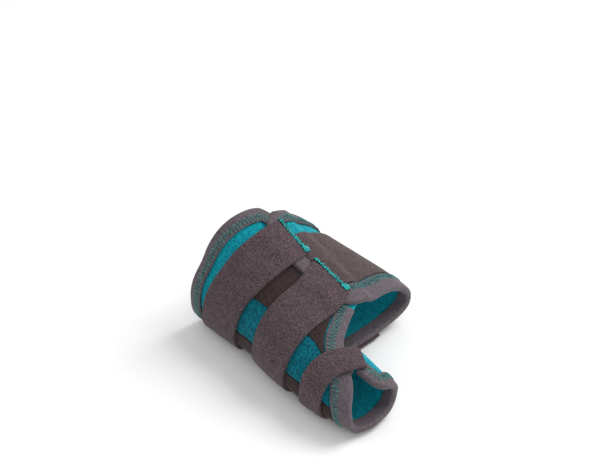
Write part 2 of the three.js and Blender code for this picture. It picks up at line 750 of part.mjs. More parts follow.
function toeStrap() {
  const line = edgeLine(
    turnStops(TOE_STRAP_ROUTE[0].at, TOE_STRAP_ROUTE[TOE_STRAP_ROUTE.length - 1].at),
    (turn) => TOE_STRAP_AT + TOE_STRAP_SLANT * follow(TOE_STRAP_ROUTE, "slant", turn),
    toeSpine,
  );
  const profile = flatStrap(TOE_STRAP_WIDTH, 3);
  return band(line.map(({ place }) => place), () => profile, 1);
}

const TEAL = { color: 0x007a8c, roughness: 0.85, metalness: 0 };
const STRAP_GREY = { color: 0x5a5054, roughness: 0.95, metalness: 0 };
const COVER_GREY = { color: 0x5a4e4e, roughness: 0.9, metalness: 0 };
const DARK_BROWN = { color: 0x3e322e, roughness: 0.95, metalness: 0 };
const BINDING_GREY = { color: 0x706870, roughness: 0.8, metalness: 0 };

const PIECES = [
  ["midfoot_wrap", TEAL, midfootWrap],
  ["toe_sleeve", TEAL, toeSleeve],
  ["lateral_cover", COVER_GREY, lateralCover],
  ["medial_cover_upper", DARK_BROWN, upperCover],
  ["splint_channel", TEAL, channel],
  ["medial_cover_lower", DARK_BROWN, lowerCover],
  ["hem_binding", BINDING_GREY, hemBinding],
  ["front_binding", BINDING_GREY, frontBinding],
  ["lap_binding", BINDING_GREY, lapBinding],
  ["sleeve_binding", BINDING_GREY, sleeveBinding],
  ["heel_side_strap", STRAP_GREY, () => strap(STRAP_HEEL_AT, STRAP_HEEL_SLANT, STRAP_HEEL_ROUTE)],
  ["ball_strap", STRAP_GREY, () => strap(STRAP_BALL_AT, STRAP_BALL_SLANT, STRAP_BALL_ROUTE)],
  ["toe_strap", STRAP_GREY, toeStrap],
];

const group = new THREE.Group();
for (const [name, finish, make] of PIECES) {
  const mesh = new THREE.Mesh(make(), new THREE.MeshStandardMaterial(finish));
  mesh.name = name;
  group.add(mesh);
}

export default group;
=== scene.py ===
import math

import bpy
import numpy as np
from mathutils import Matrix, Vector


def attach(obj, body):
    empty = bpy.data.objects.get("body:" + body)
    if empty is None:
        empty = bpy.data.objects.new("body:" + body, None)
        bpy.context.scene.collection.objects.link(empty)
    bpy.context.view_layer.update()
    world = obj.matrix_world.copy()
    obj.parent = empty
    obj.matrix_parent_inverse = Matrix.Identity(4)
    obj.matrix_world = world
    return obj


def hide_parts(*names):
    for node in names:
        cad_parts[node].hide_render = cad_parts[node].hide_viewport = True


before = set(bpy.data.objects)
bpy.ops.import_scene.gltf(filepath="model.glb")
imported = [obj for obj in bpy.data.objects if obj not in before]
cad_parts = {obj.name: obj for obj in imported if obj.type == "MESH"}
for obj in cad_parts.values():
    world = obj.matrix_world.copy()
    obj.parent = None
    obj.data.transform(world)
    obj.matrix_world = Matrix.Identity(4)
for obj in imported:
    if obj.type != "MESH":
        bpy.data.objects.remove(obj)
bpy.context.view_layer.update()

bl_info = {
    "name": "Bunion corrector",
    "version": (1, 0, 0),
    "blender": (4, 5, 0),
    "location": "3D View > Sidebar > Brace",
    "description": "A soft brace for the instep and the big toe, with covers, bindings, straps and stitches",
    "category": "Add Mesh",
}

# Distances inside this file are millimetres from the back of the heel, along the foot (x), to the
# outer side (y) and up (z). Meshes are made in metres from the CAD's own origin. A turn is an angle
# round the form in degrees: 0 on the outer side, 90 on the instep, 180 on the big toe side, 270 below.
MM = 0.001
ORIGIN_AT, ORIGIN_SIDE = 152.5, -20.0

# Cloth walls, and the heights of the layers over the foot form.
WRAP_WALL = 2.0
COVER_WALL = 1.0
STRAP_WALL = 2.0
LAYER_GAP = 0.4
COVER_IN = WRAP_WALL + LAYER_GAP
COVER_OUT = COVER_IN + COVER_WALL
STRAP_IN = COVER_OUT + LAYER_GAP
STRAP_OUT = STRAP_IN + STRAP_WALL
LAP_LIFT = WRAP_WALL + LAYER_GAP
SOLE_LEVEL = STRAP_OUT

# Edges of the pieces, as distances from the heel, and the widths of tapes and straps.
HEM_AT, HEM_REACH = 76.0, 18.5
COVER_AT, COVER_BOW, UPPER_COVER_END = 109.0, 3.0, 184.0
JOIN_AT, FRONT_REACH = 157.0, 12.3
MOUTH_AT, MOUTH_RAKE = 201.5, 19.0
SEAM_SIDE, LAP_UNDER, LAP_RAMP, LAP_LEVEL = 3.0, 6.0, 18.0, 4.0
HEM_WIDTH, FRONT_WIDTH, LAP_WIDTH, SLEEVE_WIDTH, MOUTH_WIDTH = 8.5, 12.5, 8.0, 9.0, 12.0
STRAP_WIDTH, TOE_STRAP_WIDTH = 30.0, 17.5
STRAP_HEEL_AT, STRAP_HEEL_SLANT = 100.0, 15.5
STRAP_BALL_AT, STRAP_BALL_SLANT = 150.0, 4.5
TOE_STRAP_AT, TOE_STRAP_SLANT = 188.0, 9.0
FLAP_NARROWING, TOE_STRAP_CURL = 4.0, 1.3
FRONT_FROM, SLEEVE_BOUND_FROM, SEAM_TURN, SEAM_GAP = 252.0, 171.0, 0.3, 1.0
COVER_SOLE_SIDE = -0.23
WRAP_MIDDLE = (HEM_AT + JOIN_AT) / 2

# The sleeve's tape: the run over which it widens towards the mouth, the runs before its end between
# which it narrows on the flap, and the turn past which its inner edge bounds the mouth.
WIDENS_OVER, NARROWS_FROM, NARROWS_TO, MOUTH_FROM = 55.0, 45.0, 15.0, 124.0
# Short gaps: the lap's tape before the front tape, and the upper cover beside the lap's edge.
LAP_SHORT, UPPER_COVER_OFF = 1.0, 2.0
# Small heights: covers proud, the channel sunk, air below a cover, the lap's tape raised.
COVER_PROUD, CHANNEL_SUNK, COVER_AIR, LAP_TAPE_RISE = 0.1, 0.5, 0.05, 0.3
# A folded tape: height of its inner leaf, reach of the fold past the edge, thickness, width of the
# inner leaf and crown of the outer one; then where its stitches dent it, how widely and how deep.
TAPE_LOW, TAPE_PAST, TAPE_WALL, TAPE_BACK, TAPE_CROWN = -0.9, 1.4, 0.9, 7.0, 0.25
PUCKER_AT, PUCKER_WIDTH, PUCKER_DEPTH = 0.72, 2.3, 0.1
# A strap: its crown, how far it sinks, and its waves of slack as height, run and multiple of the phase.
STRAP_CROWN, STRAP_SUNK = 0.35, 0.25
STRAP_SLACK = ((0.12, 9.0, 1), (0.08, 3.7, 2))
# The sewn end of a wide strap: the run that leans along the foot, and how much of the way it leans.
SEWN_END, SEWN_LEAN = 22.0, 0.9
# Stitches: distance in from the edge of a tape and of the sleeve's tape, and height over the covers.
ZIGZAG_INSET, SLEEVE_ZIGZAG_INSET, ZIGZAG_RISE = 3.2, 3.6, 0.25
# How finely lines are cut up: millimetres between places, and steps along a strap's route.
TAPE_SPACING, STRAP_SPACING, TOE_STRAP_SPACING = 0.7, 0.8, 0.6
ROUTE_STEPS, TOE_ROUTE_STEPS = 420, 300

# The stage: half the floor's side in metres; the camera's turn round from the big toe side and up in
# degrees, its distance in metres and its lens. It looks at a place in millimetres from the heel, and the
# lights at one in metres in the CAD's frame. Then the lights' size, and the heel light's share of power.
FLOOR_HALF = 3.0
CAMERA_ROUND, CAMERA_UP, CAMERA_AWAY, CAMERA_LENS = 46.5, 35.6, 1.1, 102.3
CAMERA_TARGET, LIGHT_TARGET = (76.0, 46.0, 25.0), (0, 0.02, 0.03)
LIGHT_SIZE, HEEL_FILL_SHARE = 0.8, 0.6

# The foot form: rounding of the sole's edge, of the toe, and of the end behind the toes.
BALL_END, BALL_END_ROUND, TOE_BLEND = 0.75, 12.0, 9.0
SOLE_SQUARE, TOE_ROUND, TOE_SQUARE, SOLE_DROP, SOLE_ROUND, SPINE_SIDE = 2.5, 2.2, 3.0, 1.05, 2.0, 2.0

# Each section's place is a share of the foot's length. Then come shares of the ball's width (medial,
# lateral, ridge, side), of the instep's height (top, waist), and of the big toe's width (half) and
# height (middle, rise). inner and outer are exponents of the oval on each side: 2 is an ellipse.
FOOT_COLUMNS = ("at", "medial", "lateral", "ridge", "top", "waist", "inner", "outer")
FOOT_SECTIONS = (
    (0.210, 0.340, 0.350, -0.073, 1.190, 0.333, 2.2, 1.80),
    (0.290, 0.362, 0.365, -0.083, 0.970, 0.286, 2.2, 1.80),
    (0.375, 0.388, 0.405, -0.094, 0.785, 0.250, 2.2, 1.85),
    (0.460, 0.412, 0.460, -0.104, 0.660, 0.214, 2.2, 1.95),
    (0.540, 0.443, 0.510, -0.104, 0.580, 0.190, 2.2, 1.95),
    (0.625, 0.475, 0.550, -0.125, 0.500, 0.167, 2.2, 1.95),
    (0.710, 0.485, 0.555, -0.156, 0.430, 0.143, 2.2, 1.90),
    (0.790, 0.490, 0.520, -0.177, 0.345, 0.120, 2.2, 1.90),
)
TOE_COLUMNS = ("at", "side", "half", "middle", "rise")
TOE_SECTIONS = (
    (0.540, -0.262, 0.500, 0.600, 0.667),
    (0.625, -0.288, 0.510, 0.567, 0.633),
    (0.710, -0.305, 0.520, 0.500, 0.583),
    (0.790, -0.318, 0.535, 0.450, 0.483),
    (0.875, -0.325, 0.490, 0.400, 0.380),
    (0.960, -0.335, 0.410, 0.360, 0.270),
)
# Edges and routes: pairs of a place (turn in degrees, or a share) and a value there.
HEM_EDGE = ((80, 1.05), (86, 1.0), (90, 0.82), (94, 0.71), (109, 0.61), (119, 0.51), (133, 0.34),
            (153, 0.14), (180, 0.02), (225, 0), (270, 0.02), (315, 0.16), (345, 0.4), (370, 0.66),
            (395, 0.88), (417, 1.0), (447, 1.0))
LAP_EDGE = ((0.39, 0.052), (0.4, 0.024), (0.412, -0.028), (0.425, -0.06), (0.46, -0.078),
            (0.52, -0.098), (0.57, -0.094))
FRONT_EDGE = ((80, 0), (240, 0), (248, 0.45), (300, 0.5), (345, 0.55), (379, 0.72), (409, 1.0),
              (438, 0.94), (451, 0.78), (459, 0.54), (474, 0.35))
SLEEVE_TOP = ((0, 0.085), (0.2, 0.083), (0.25, 0.07), (0.35, -0.045), (0.46, -0.144),
              (0.59, -0.234), (0.8, -0.3), (1.0, -0.335))
SLEEVE_FLAP = ((0, 315), (0.5, 319), (0.58, 331), (0.64, 356), (0.7, 390), (0.77, 420),
               (0.87, 438), (1.0, 444))
MOUTH_EDGE = ((104, 0), (126, 0.38), (152, 0.67), (180, 0.83), (215, 0.88), (245, 0.97), (270, 1.0),
              (300, 0.95), (340, 0.87), (380, 0.95), (410, 1.0), (428, 0.87), (437, 0.65), (444, 0.12))
CHANNEL_UPPER = ((0.43, 122), (0.54, 121), (0.65, 114), (0.73, 109), (0.8, 125), (0.86, 137), (0.9, 139))
CHANNEL_LOWER = ((0.43, 186), (0.54, 184), (0.65, 180), (0.73, 176), (0.8, 177), (0.86, 181), (0.9, 183))
STRAP_HEEL_ROUTE = ((85, 0.88), (108, 1.0), (128, 0.92), (144, 0.77), (157, 0.58), (180, 0.32),
                    (205, 0.08), (250, 0), (332, 0))
STRAP_BALL_ROUTE = ((88, -0.75), (106, 0.45), (126, 1.0), (155, 1.0), (170, 0.85), (182, 0.5),
                    (205, 0.08), (250, 0), (332, 0))
TOE_STRAP_ROUTE = ((58, 1.25), (75, 1.0), (99, 0.73), (116, 0.48), (136, 0.33), (180, 0.24),
                   (212, 0.08), (250, 0), (322, 0))


def mix(a, b, t):
    return a + (b - a) * t


def ease(low, high, value):
    t = np.clip((value - low) / (high - low), 0, 1)
    return t * t * (3 - 2 * t)


def follow(pairs, at):
    """Smooth curve through pairs of place and value, level past its ends."""
    places, values = np.array(pairs, float).T
    at = np.asarray(at, float)
    low = np.clip(np.searchsorted(places, at) - 1, 0, len(places) - 2)
    ends = np.arange(len(places))
    before, after = np.maximum(ends - 1, 0), np.minimum(ends + 1, len(places) - 1)
    slopes = (values[after] - values[before]) / (places[after] - places[before])
    span = places[low + 1] - places[low]
    t = np.clip((at - places[low]) / span, 0, 1)
    t2, t3 = t * t, t * t * t
    return (values[low] * (2 * t3 - 3 * t2 + 1) + values[low + 1] * (3 * t2 - 2 * t3)
            + slopes[low] * span * (t3 - 2 * t2 + t) + slopes[low + 1] * span * (t3 - t2))


def soft_min(a, b, width):
    h = np.maximum(width - np.abs(a - b), 0) / width
    return np.minimum(a, b) - h * h * width / 4


def soft_max(a, b, width):
    return -soft_min(-a, -b, width)


def oval(dy, dz, half_width, half_height, exponent):
    q = ((np.abs(dy) / half_width) ** exponent + (np.abs(dz) / half_height) ** exponent + 1e-9)
    return np.hypot(dy, dz) * (1 - q ** (-1 / exponent))


def unit(vectors):
    return vectors / np.maximum(np.linalg.norm(vectors, axis=-1, keepdims=True), 1e-9)


class FootForm:
    """The foot that the brace is cut for: heights over it, and places on it by turns round it."""

    # Step for slopes, the sections' places from first to last with their step, and the least slope.
    PROBE, SAMPLES, LEAST_SLOPE = 0.25, (40.0, 245.0, 0.25), 0.3
    # Search outwards from the spine, then halve the last stride.
    NEAREST, FURTHEST, STRIDE, HALVINGS, FINE_HALVINGS = 4.0, 120.0, 3.0, 9, 12
    # Grid of the table of reaches, and the turns between which an edge is looked for.
    GRID, TABLE_X, TABLE_TURN = 2.0, (60.0, 232.0), (0.0, 362.0)
    INSTEP_TURNS, SOLE_TURNS = (15, 165), (200, 345)

    def __init__(self, sizes):
        self.length, self.ball = sizes.foot_length / MM, sizes.ball_width / MM
        instep, toe_wide, toe_high = sizes.instep_height / MM, sizes.toe_width / MM, sizes.toe_height / MM
        self.samples = np.arange(*self.SAMPLES)
        share = self.samples / self.length
        foot = np.array(FOOT_SECTIONS).T
        toe = np.array(TOE_SECTIONS).T
        scale = {"medial": -self.ball, "lateral": self.ball, "ridge": self.ball, "top": instep,
                 "waist": instep, "inner": 1, "outer": 1, "side": self.ball, "half": toe_wide,
                 "middle": toe_high, "rise": toe_high}
        self.columns = {}
        for names, rows in ((FOOT_COLUMNS, foot), (TOE_COLUMNS, toe)):
            for name, values in zip(names[1:], rows[1:]):
                self.columns[name] = scale[name] * follow(np.stack([rows[0], values], 1), share)
        self.reach = {on_toe: self.reach_table(on_toe) for on_toe in (False, True)}

    def sections(self, x):
        return {name: np.interp(x, self.samples, values) for name, values in self.columns.items()}

    def round_form(self, s, x, y, z):
        dy, dz = y - s["ridge"], z - SOLE_LEVEL - s["waist"]
        half = np.where(dy < 0, s["ridge"] - s["medial"], s["lateral"] - s["ridge"])
        height = np.where(dz > 0, s["top"] - s["waist"], s["waist"] * SOLE_DROP)
        upper = np.where(dy < 0, s["inner"], s["outer"])
        foot = soft_max(oval(dy, dz, half, height, np.where(dz > 0, upper, SOLE_SQUARE)),
                        x - BALL_END * self.length, BALL_END_ROUND)
        tz = z - SOLE_LEVEL - s["middle"]
        toe = oval(y - s["side"], tz, s["half"], np.where(tz > 0, s["rise"], s["middle"] * SOLE_DROP),
                   np.where(tz > 0, TOE_ROUND, TOE_SQUARE))
        return soft_min(foot, toe, TOE_BLEND)

    def measure(self, places):
        """Height over the form, and the direction straight out of it, at each place."""
        x, y, z = np.moveaxis(places, -1, 0)
        e = self.PROBE
        here, ahead, behind = self.sections(x), self.sections(x + e), self.sections(x - e)
        slope = np.stack([
            self.round_form(ahead, x + e, y, z) - self.round_form(behind, x - e, y, z),
            self.round_form(here, x, y + e, z) - self.round_form(here, x, y - e, z),
            self.round_form(here, x, y, z + e) - self.round_form(here, x, y, z - e),
        ], -1) / (2 * e)
        distance = self.round_form(here, x, y, z) / np.maximum(np.linalg.norm(slope, axis=-1),
                                                                   self.LEAST_SLOPE)
        sole = SOLE_LEVEL - z
        blend = np.clip(1 - np.abs(distance - sole) / SOLE_ROUND, 0, 1)
        weight = np.where(distance > sole, 1 - blend / 2, blend / 2)[..., None]
        out = unit(slope) * weight - np.array([0.0, 0.0, 1.0]) * (1 - weight)
        return soft_max(distance, sole, SOLE_ROUND), unit(out)

    def settle(self, places, height, rounds=3):
        for _ in range(rounds):
            now, out = self.measure(places)
            places = places + out * (height - now)[..., None]
        return places

    def spine(self, x, on_toe):
        if on_toe:
            return (np.interp(x, self.samples, self.columns["side"]),
                    SOLE_LEVEL + np.interp(x, self.samples, self.columns["middle"]))
        return SPINE_SIDE + 0 * x, SOLE_LEVEL + np.interp(x, self.samples, self.columns["waist"])

    def reach_table(self, on_toe):
        """How far the first layer's outer face is from the spine, by distance and turn."""
        self.reach_x = np.arange(*self.TABLE_X, self.GRID)
        self.reach_turn = np.arange(*self.TABLE_TURN, self.GRID)
        x, turn = np.meshgrid(self.reach_x, self.reach_turn, indexing="ij")
        y0, z0 = self.spine(x, on_toe)
        way = np.stack([0 * x, np.cos(np.radians(turn)), np.sin(np.radians(turn))], -1)
        start = np.stack([x, y0, z0], -1)
        outside = np.full(x.shape, np.inf)
        for step in np.arange(self.NEAREST, self.FURTHEST, self.STRIDE):
            over = self.measure(start + way * step)[0] > WRAP_WALL
            outside = np.where(over & np.isinf(outside), step, outside)
            if np.isfinite(outside).all():
                break
        outside = np.where(np.isinf(outside), self.FURTHEST, outside)
        inside = outside - self.STRIDE
        for _ in range(self.HALVINGS):
            middle = (inside + outside) / 2
            over = self.measure(start + way * middle[..., None])[0] > WRAP_WALL
            outside, inside = np.where(over, middle, outside), np.where(over, inside, middle)
        return outside

    def spot(self, x, turn, on_toe=False):
        """The place on the first layer's outer face at a distance from the heel and a turn."""
        x, turn = np.broadcast_arrays(np.asarray(x, float), np.asarray(turn, float))
        i = np.clip((x - self.reach_x[0]) / self.GRID, 0, len(self.reach_x) - 1.001)
        j = (turn % 360) / self.GRID
        a, b = np.floor(i).astype(int), np.floor(j).astype(int)
        u, v = i - a, j - b
        table = self.reach[on_toe]
        reach = mix(mix(table[a, b], table[a + 1, b], u), mix(table[a, b + 1], table[a + 1, b + 1], u), v)
        y0, z0 = self.spine(x, on_toe)
        angle = np.radians(turn)
        start = np.stack([x, y0 + reach * np.cos(angle), z0 + reach * np.sin(angle)], -1)
        return self.settle(start, WRAP_WALL)

    def turn_where(self, side, on_toe, low, high):
        """A function of the distance from the heel: the turn at which a section passes a side."""
        xs = np.arange(self.TABLE_X[0] + self.GRID, self.TABLE_X[1] - self.GRID, self.GRID)
        wanted = side(xs) if callable(side) else np.full(xs.shape, float(side))
        a, b = np.full(xs.shape, float(low)), np.full(xs.shape, float(high))
        before = self.spot(xs, a, on_toe)[:, 1] < wanted
        for _ in range(self.FINE_HALVINGS):
            middle = (a + b) / 2
            same = (self.spot(xs, middle, on_toe)[:, 1] < wanted) == before
            a, b = np.where(same, middle, a), np.where(same, b, middle)
        return lambda x: np.interp(x, xs, (a + b) / 2)

    def over_instep(self, side, on_toe=False):
        return self.turn_where(side, on_toe, *self.INSTEP_TURNS)

    def under_sole(self, side, on_toe=False):
        return self.turn_where(side, on_toe, *self.SOLE_TURNS)

    def turns_of(self, places, near, on_toe):
        y0, z0 = self.spine(places[..., 0], on_toe)
        found = np.degrees(np.arctan2(places[..., 2] - z0, places[..., 1] - y0))
        return found + 360 * np.round((near - found) / 360)


def across_line(form, line, facing):
    """Direction across a line on the form, and the direction out of the form, at each place."""
    along = np.gradient(line, axis=0)
    out = form.measure(line)[1]
    return unit(np.cross(out, along)) * facing, out


class Sheet:
    """Places for a sheet between two edges lengthwise and two ends round the form.

    lengthwise is its count of rows, and round_step sets its columns by the turns at the middle.
    """

    def __init__(self, form, back, front, start, end, on_toe, middle, lengthwise, round_step):
        reach = float(end(middle) - start(middle))
        part = np.linspace(0, 1, max(6, int(reach / round_step)))[None, :]
        share = np.linspace(0, 1, lengthwise)[:, None]
        near = mix(start(middle), end(middle), part)
        self.x = mix(back(near), front(near), share)
        self.turn = mix(start(self.x), end(self.x), part)
        self.place = form.spot(self.x, self.turn, on_toe)


class Pattern:
    """All edges of the brace on one foot form."""

    def __init__(self, sizes):
        form = self.form = FootForm(sizes)
        ball = form.ball
        self.lap_under = form.over_instep(SEAM_SIDE + LAP_UNDER)
        over = form.over_instep(self.lap_side)
        self.lap_over = lambda x: 360 + over(x)
        self.wrap = Sheet(form, self.hem_edge, self.front_edge, self.lap_under, self.lap_over, False,
                          WRAP_MIDDLE, 56, 1.5)
        self.wrap_lift = self.lap_lift(self.wrap.x, self.wrap.turn)
        top = form.over_instep(lambda x: ball * follow(SLEEVE_TOP, self.sleeve_share(x)), True)
        flap = lambda x: follow(SLEEVE_FLAP, self.sleeve_share(x))
        self.sleeve = Sheet(form, lambda t: JOIN_AT + LAYER_GAP / 2 + 0 * t, self.mouth_edge, top, flap,
                            True, MOUTH_AT, 56, 1.8)
        hem, front = self.wrap.turn[0], self.wrap.turn[-1]
        kept = hem > float(self.lap_corner(self.hem_edge)) - 360
        self.hem = self.wrap.place[0][kept]
        self.hem_lift = self.wrap_lift[0][kept]
        kept = front > FRONT_FROM
        self.front = self.wrap.place[-1][kept]
        self.front_turn = front[kept]
        self.front_lift = self.wrap_lift[-1][kept]
        corner = self.lap_corner
        first = float(self.hem_edge(corner(self.hem_edge))) + LAYER_GAP
        last = float(self.front_edge(corner(self.front_edge))) - FRONT_WIDTH - LAP_SHORT
        lap_x = np.arange(first, last, 1.0)
        self.lap = form.spot(lap_x, self.lap_over(lap_x))
        bound = self.sleeve.x[:, 0] > SLEEVE_BOUND_FROM
        line = np.concatenate([self.sleeve.place[:, 0][bound], self.sleeve.place[-1, 1:]])
        turns = np.concatenate([self.sleeve.turn[:, 0][bound], self.sleeve.turn[-1, 1:]])
        self.sleeve_line = even_line(line, TAPE_SPACING)
        ran, whole = lengths(self.sleeve_line), lengths(line)
        self.sleeve_turn = np.interp(ran / ran[-1], whole / whole[-1], turns)
        self.sleeve_width = mix(SLEEVE_WIDTH, MOUTH_WIDTH, ease(0, WIDENS_OVER, ran))
        self.sleeve_width -= FLAP_NARROWING * ease(ran[-1] - NARROWS_FROM, ran[-1] - NARROWS_TO, ran)
        inner = self.beside(self.sleeve_line, 1, -(self.sleeve_width + SEAM_GAP))
        inner_turn = form.turns_of(inner, self.sleeve_turn, True)
        mouth = inner_turn > MOUTH_FROM
        order = np.argsort(inner_turn[mouth])
        self.mouth_inner = (inner_turn[mouth][order], inner[mouth][order][:, 0])
        low = np.flatnonzero(inner_turn < 180)
        low = low[np.argsort(inner[low, 0])]
        self.top_inner = (inner[low, 0], np.maximum.accumulate(inner_turn[low]))
        front_inner = self.beside(self.front, 1, -(FRONT_WIDTH + SEAM_GAP) + 0 * self.front_turn)
        self.front_inner = (form.turns_of(front_inner, self.front_turn, False), front_inner[:, 0])

    def beside(self, line, facing, distance):
        across, _ = across_line(self.form, line, facing)
        return self.form.settle(line + across * np.asarray(distance)[:, None], WRAP_WALL + 0 * line[:, 0])

    def hem_edge(self, turn):
        return HEM_AT + HEM_REACH * follow(HEM_EDGE, turn)

    def lap_side(self, x):
        return follow(LAP_EDGE, x / self.form.length) * self.form.ball

    def front_edge(self, turn):
        return JOIN_AT + FRONT_REACH * follow(FRONT_EDGE, turn) - LAYER_GAP / 2

    def mouth_edge(self, turn):
        return MOUTH_AT + MOUTH_RAKE * follow(MOUTH_EDGE, turn)

    def sleeve_share(self, x):
        return (x - JOIN_AT) / (MOUTH_AT - JOIN_AT)

    def lap_corner(self, edge):
        return self.lap_over(edge(self.lap_over(WRAP_MIDDLE)))

    def lap_lift(self, x, turn):
        ramp = self.lap_under(x) + 360
        return LAP_LIFT * ease(ramp - LAP_RAMP, ramp - LAP_LEVEL, turn)

    def beside_rim(self, x):
        return np.where(x < self.top_inner[0][0], 0, np.interp(x, *self.top_inner))


def lengths(line):
    """Length along a line at each of its places."""
    return np.concatenate([[0], np.cumsum(np.linalg.norm(np.diff(line, axis=0), axis=1))])


def even_line(line, spacing):
    """The same line with places at even distances."""
    ran = lengths(line)
    at = np.linspace(0, ran[-1], max(4, int(ran[-1] / spacing)))
    return np.stack([np.interp(at, ran, line[:, k]) for k in range(3)], 1)


def to_frame(places):
    """Metres in the CAD's frame."""
    return (np.asarray(places) - np.array([ORIGIN_AT, ORIGIN_SIDE, 0])) * MM


def closed_shell(name, outer, inner, material, node_names, edge=0.45):
    """A piece of cloth between two grids of places, with rounded cut edges and a UV map in metres."""
    rows, columns = outer.shape[:2]
    count = rows * columns
    number = np.arange(count).reshape(rows, columns)
    corners = (number[:-1, :-1], number[1:, :-1], number[1:, 1:], number[:-1, 1:])
    over = np.stack(corners, -1).reshape(-1, 4)
    quads = [over, over[:, [0, 3, 2, 1]] + count]
    loop = np.concatenate([number[:, 0], number[-1, 1:], number[-2::-1, -1], number[0, -2:0:-1]])
    following = np.roll(loop, -1)
    quads.append(np.stack([loop, loop + count, following + count, following], -1))
    faces = np.concatenate(quads)
    places = to_frame(np.concatenate([outer.reshape(-1, 3), inner.reshape(-1, 3)]))
    a, b, c = places[faces[:, 0]], places[faces[:, 1]], places[faces[:, 2]]
    d = places[faces[:, 3]]
    volume = (np.einsum("ij,ij->i", a, np.cross(b, c)) + np.einsum("ij,ij->i", a, np.cross(c, d))).sum()
    if volume < 0:
        faces = faces[:, ::-1]
    mesh = bpy.data.meshes.new(name)
    mesh.from_pydata(places.tolist(), [], faces.tolist())
    row_step = np.linalg.norm(np.diff(outer, axis=0), axis=-1).mean(1)
    column_step = np.linalg.norm(np.diff(outer, axis=1), axis=-1).mean(0)
    u = np.concatenate([[0], np.cumsum(row_step)])[:, None] + np.zeros((1, columns))
    v = np.concatenate([[0], np.cumsum(column_step)])[None, :] + np.zeros((rows, 1))
    flat = np.tile(np.stack([u, v], -1).reshape(-1, 2) * MM, (2, 1))
    layer = mesh.uv_layers.new(name="Cloth")
    layer.data.foreach_set("uv", flat[faces.reshape(-1)].astype(np.float32).ravel())
    mesh.materials.append(material)
    mesh.shade_smooth()
    piece = bpy.data.objects.new(name, mesh)
    bpy.context.scene.collection.objects.link(piece)
    bevel = piece.modifiers.new("Rounded edges", "BEVEL")
    bevel.width, bevel.segments = edge * MM, 3
    bevel.limit_method, bevel.angle_limit = "ANGLE", math.radians(50)
    bake_modifiers(piece)
    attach(piece, "root")
    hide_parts(*node_names)
    return piece


def bake_modifiers(piece):
    """Turns the piece's evaluated shape into its plain mesh."""
    bpy.context.view_layer.update()
    graph = bpy.context.evaluated_depsgraph_get()
    made = bpy.data.meshes.new_from_object(piece.evaluated_get(graph), preserve_all_data_layers=True,
                                           depsgraph=graph)
    piece.modifiers.clear()
    piece.data = made
    made.name = piece.name


def grid_shell(pattern, sheet, name, low, high, cloth, node_name, edge=0.45):
    """A piece of cloth on a sheet's places between two heights."""
    form = pattern.form
    out = form.measure(sheet.place)[1]
    place = sheet.place
    outer = form.settle(place + out * (high - WRAP_WALL)[..., None], high)
    inner = form.settle(place + out * (low - WRAP_WALL)[..., None], low)
    piece = closed_shell(name, outer, inner, finish(cloth), [node_name], edge)


def ribbon(pattern, line, profile, across, lift, name, material, node_names, edge=0.3):
    """A tape or strap: outer and inner profiles of (across, height) carried along a line."""
    form = pattern.form
    faces = []
    for side in profile:
        distance, height = side[..., 0], side[..., 1]
        base = line[:, None, :] + across[:, None, :] * distance[..., None]
        base = form.settle(base, WRAP_WALL + 0 * distance)
        out = form.measure(base)[1]
        high = height + lift[:, None]
        faces.append(form.settle(base + out * (high - WRAP_WALL)[..., None], high, 2))
    return closed_shell(name, faces[0], faces[1], material, node_names, edge), faces[0]


def tape_profile(ran, width, pitch, pucker):
    """Outer and inner profiles of a tape folded round an edge, puckered where it is sewn."""
    width = np.broadcast_to(width, ran.shape)[:, None]
    leaf = np.linspace(0, 1, 14)[None, :]
    fold = np.linspace(0, math.pi, 9)[None, 1:-1]
    back = np.linspace(0, 1, 5)[None, :]
    middle = (COVER_OUT + TAPE_LOW) / 2
    sides = []
    for inset in (0.0, TAPE_WALL):
        high, deep = COVER_OUT - inset, TAPE_LOW + inset
        rise = (high - deep) / 2
        leaf_across = -width * (1 - leaf)
        wave = pucker * (0.5 + 0.5 * np.cos(2 * math.pi * ran / pitch))[:, None]
        dent = wave * np.exp(-(((leaf_across + width * PUCKER_AT) / PUCKER_WIDTH) ** 2)) * (inset == 0)
        crown = TAPE_CROWN * np.sin(math.pi * leaf) * (inset == 0)
        leaf_high = high - dent + crown
        fold_across = (TAPE_PAST - inset * 0.8) * np.sin(fold) + 0 * width
        fold_high = middle + rise * np.cos(fold) + 0 * width
        back_across = -TAPE_BACK * back + 0 * width
        sides.append(np.stack([np.concatenate([leaf_across, fold_across, back_across], 1),
                               np.concatenate([leaf_high, fold_high, deep + 0 * back_across], 1)], -1))
    return sides


def strap_profile(ran, width, phase, curl):
    """Outer and inner profiles of a flat strap, slightly crowned and slack, with its toe edge curled up."""
    across = np.linspace(-0.5, 0.5, 26)[None, :]
    slack = sum(high * np.sin(ran / run + share * phase) for high, run, share in STRAP_SLACK)[:, None]
    crown = STRAP_CROWN * (1 - (2 * across) ** 2)
    stands_off = curl[:, None] * ease(0.1, 0.5, across)
    outer = STRAP_OUT - STRAP_SUNK + crown + slack * (1 - (2 * across) ** 4) + stands_off
    inner = STRAP_IN - STRAP_SUNK + 0 * slack + stands_off
    distance = width * across + 0 * slack
    return [np.stack([distance, outer], -1), np.stack([distance, inner], -1)]


# Colours and materials.
def linear(code):
    """sRGB hex to linear colour with alpha."""
    parts = [int(code[k:k + 2], 16) / 255 for k in (1, 3, 5)]
    return tuple(c / 12.92 if c <= 0.04045 else ((c + 0.055) / 1.055) ** 2.4 for c in parts) + (1.0,)


def add(tree, kind, links=None, values=None, **settings):
    """Adds a node with its settings, its socket values and the links into it."""
    made = tree.nodes.new(kind)
    for name, value in settings.items():
        setattr(made, name, value)
    for name, value in (values or {}).items():
        made.inputs[name].default_value = value
    for name, source in (links or {}).items():
        tree.links.new(source, made.inputs[name])
    return made


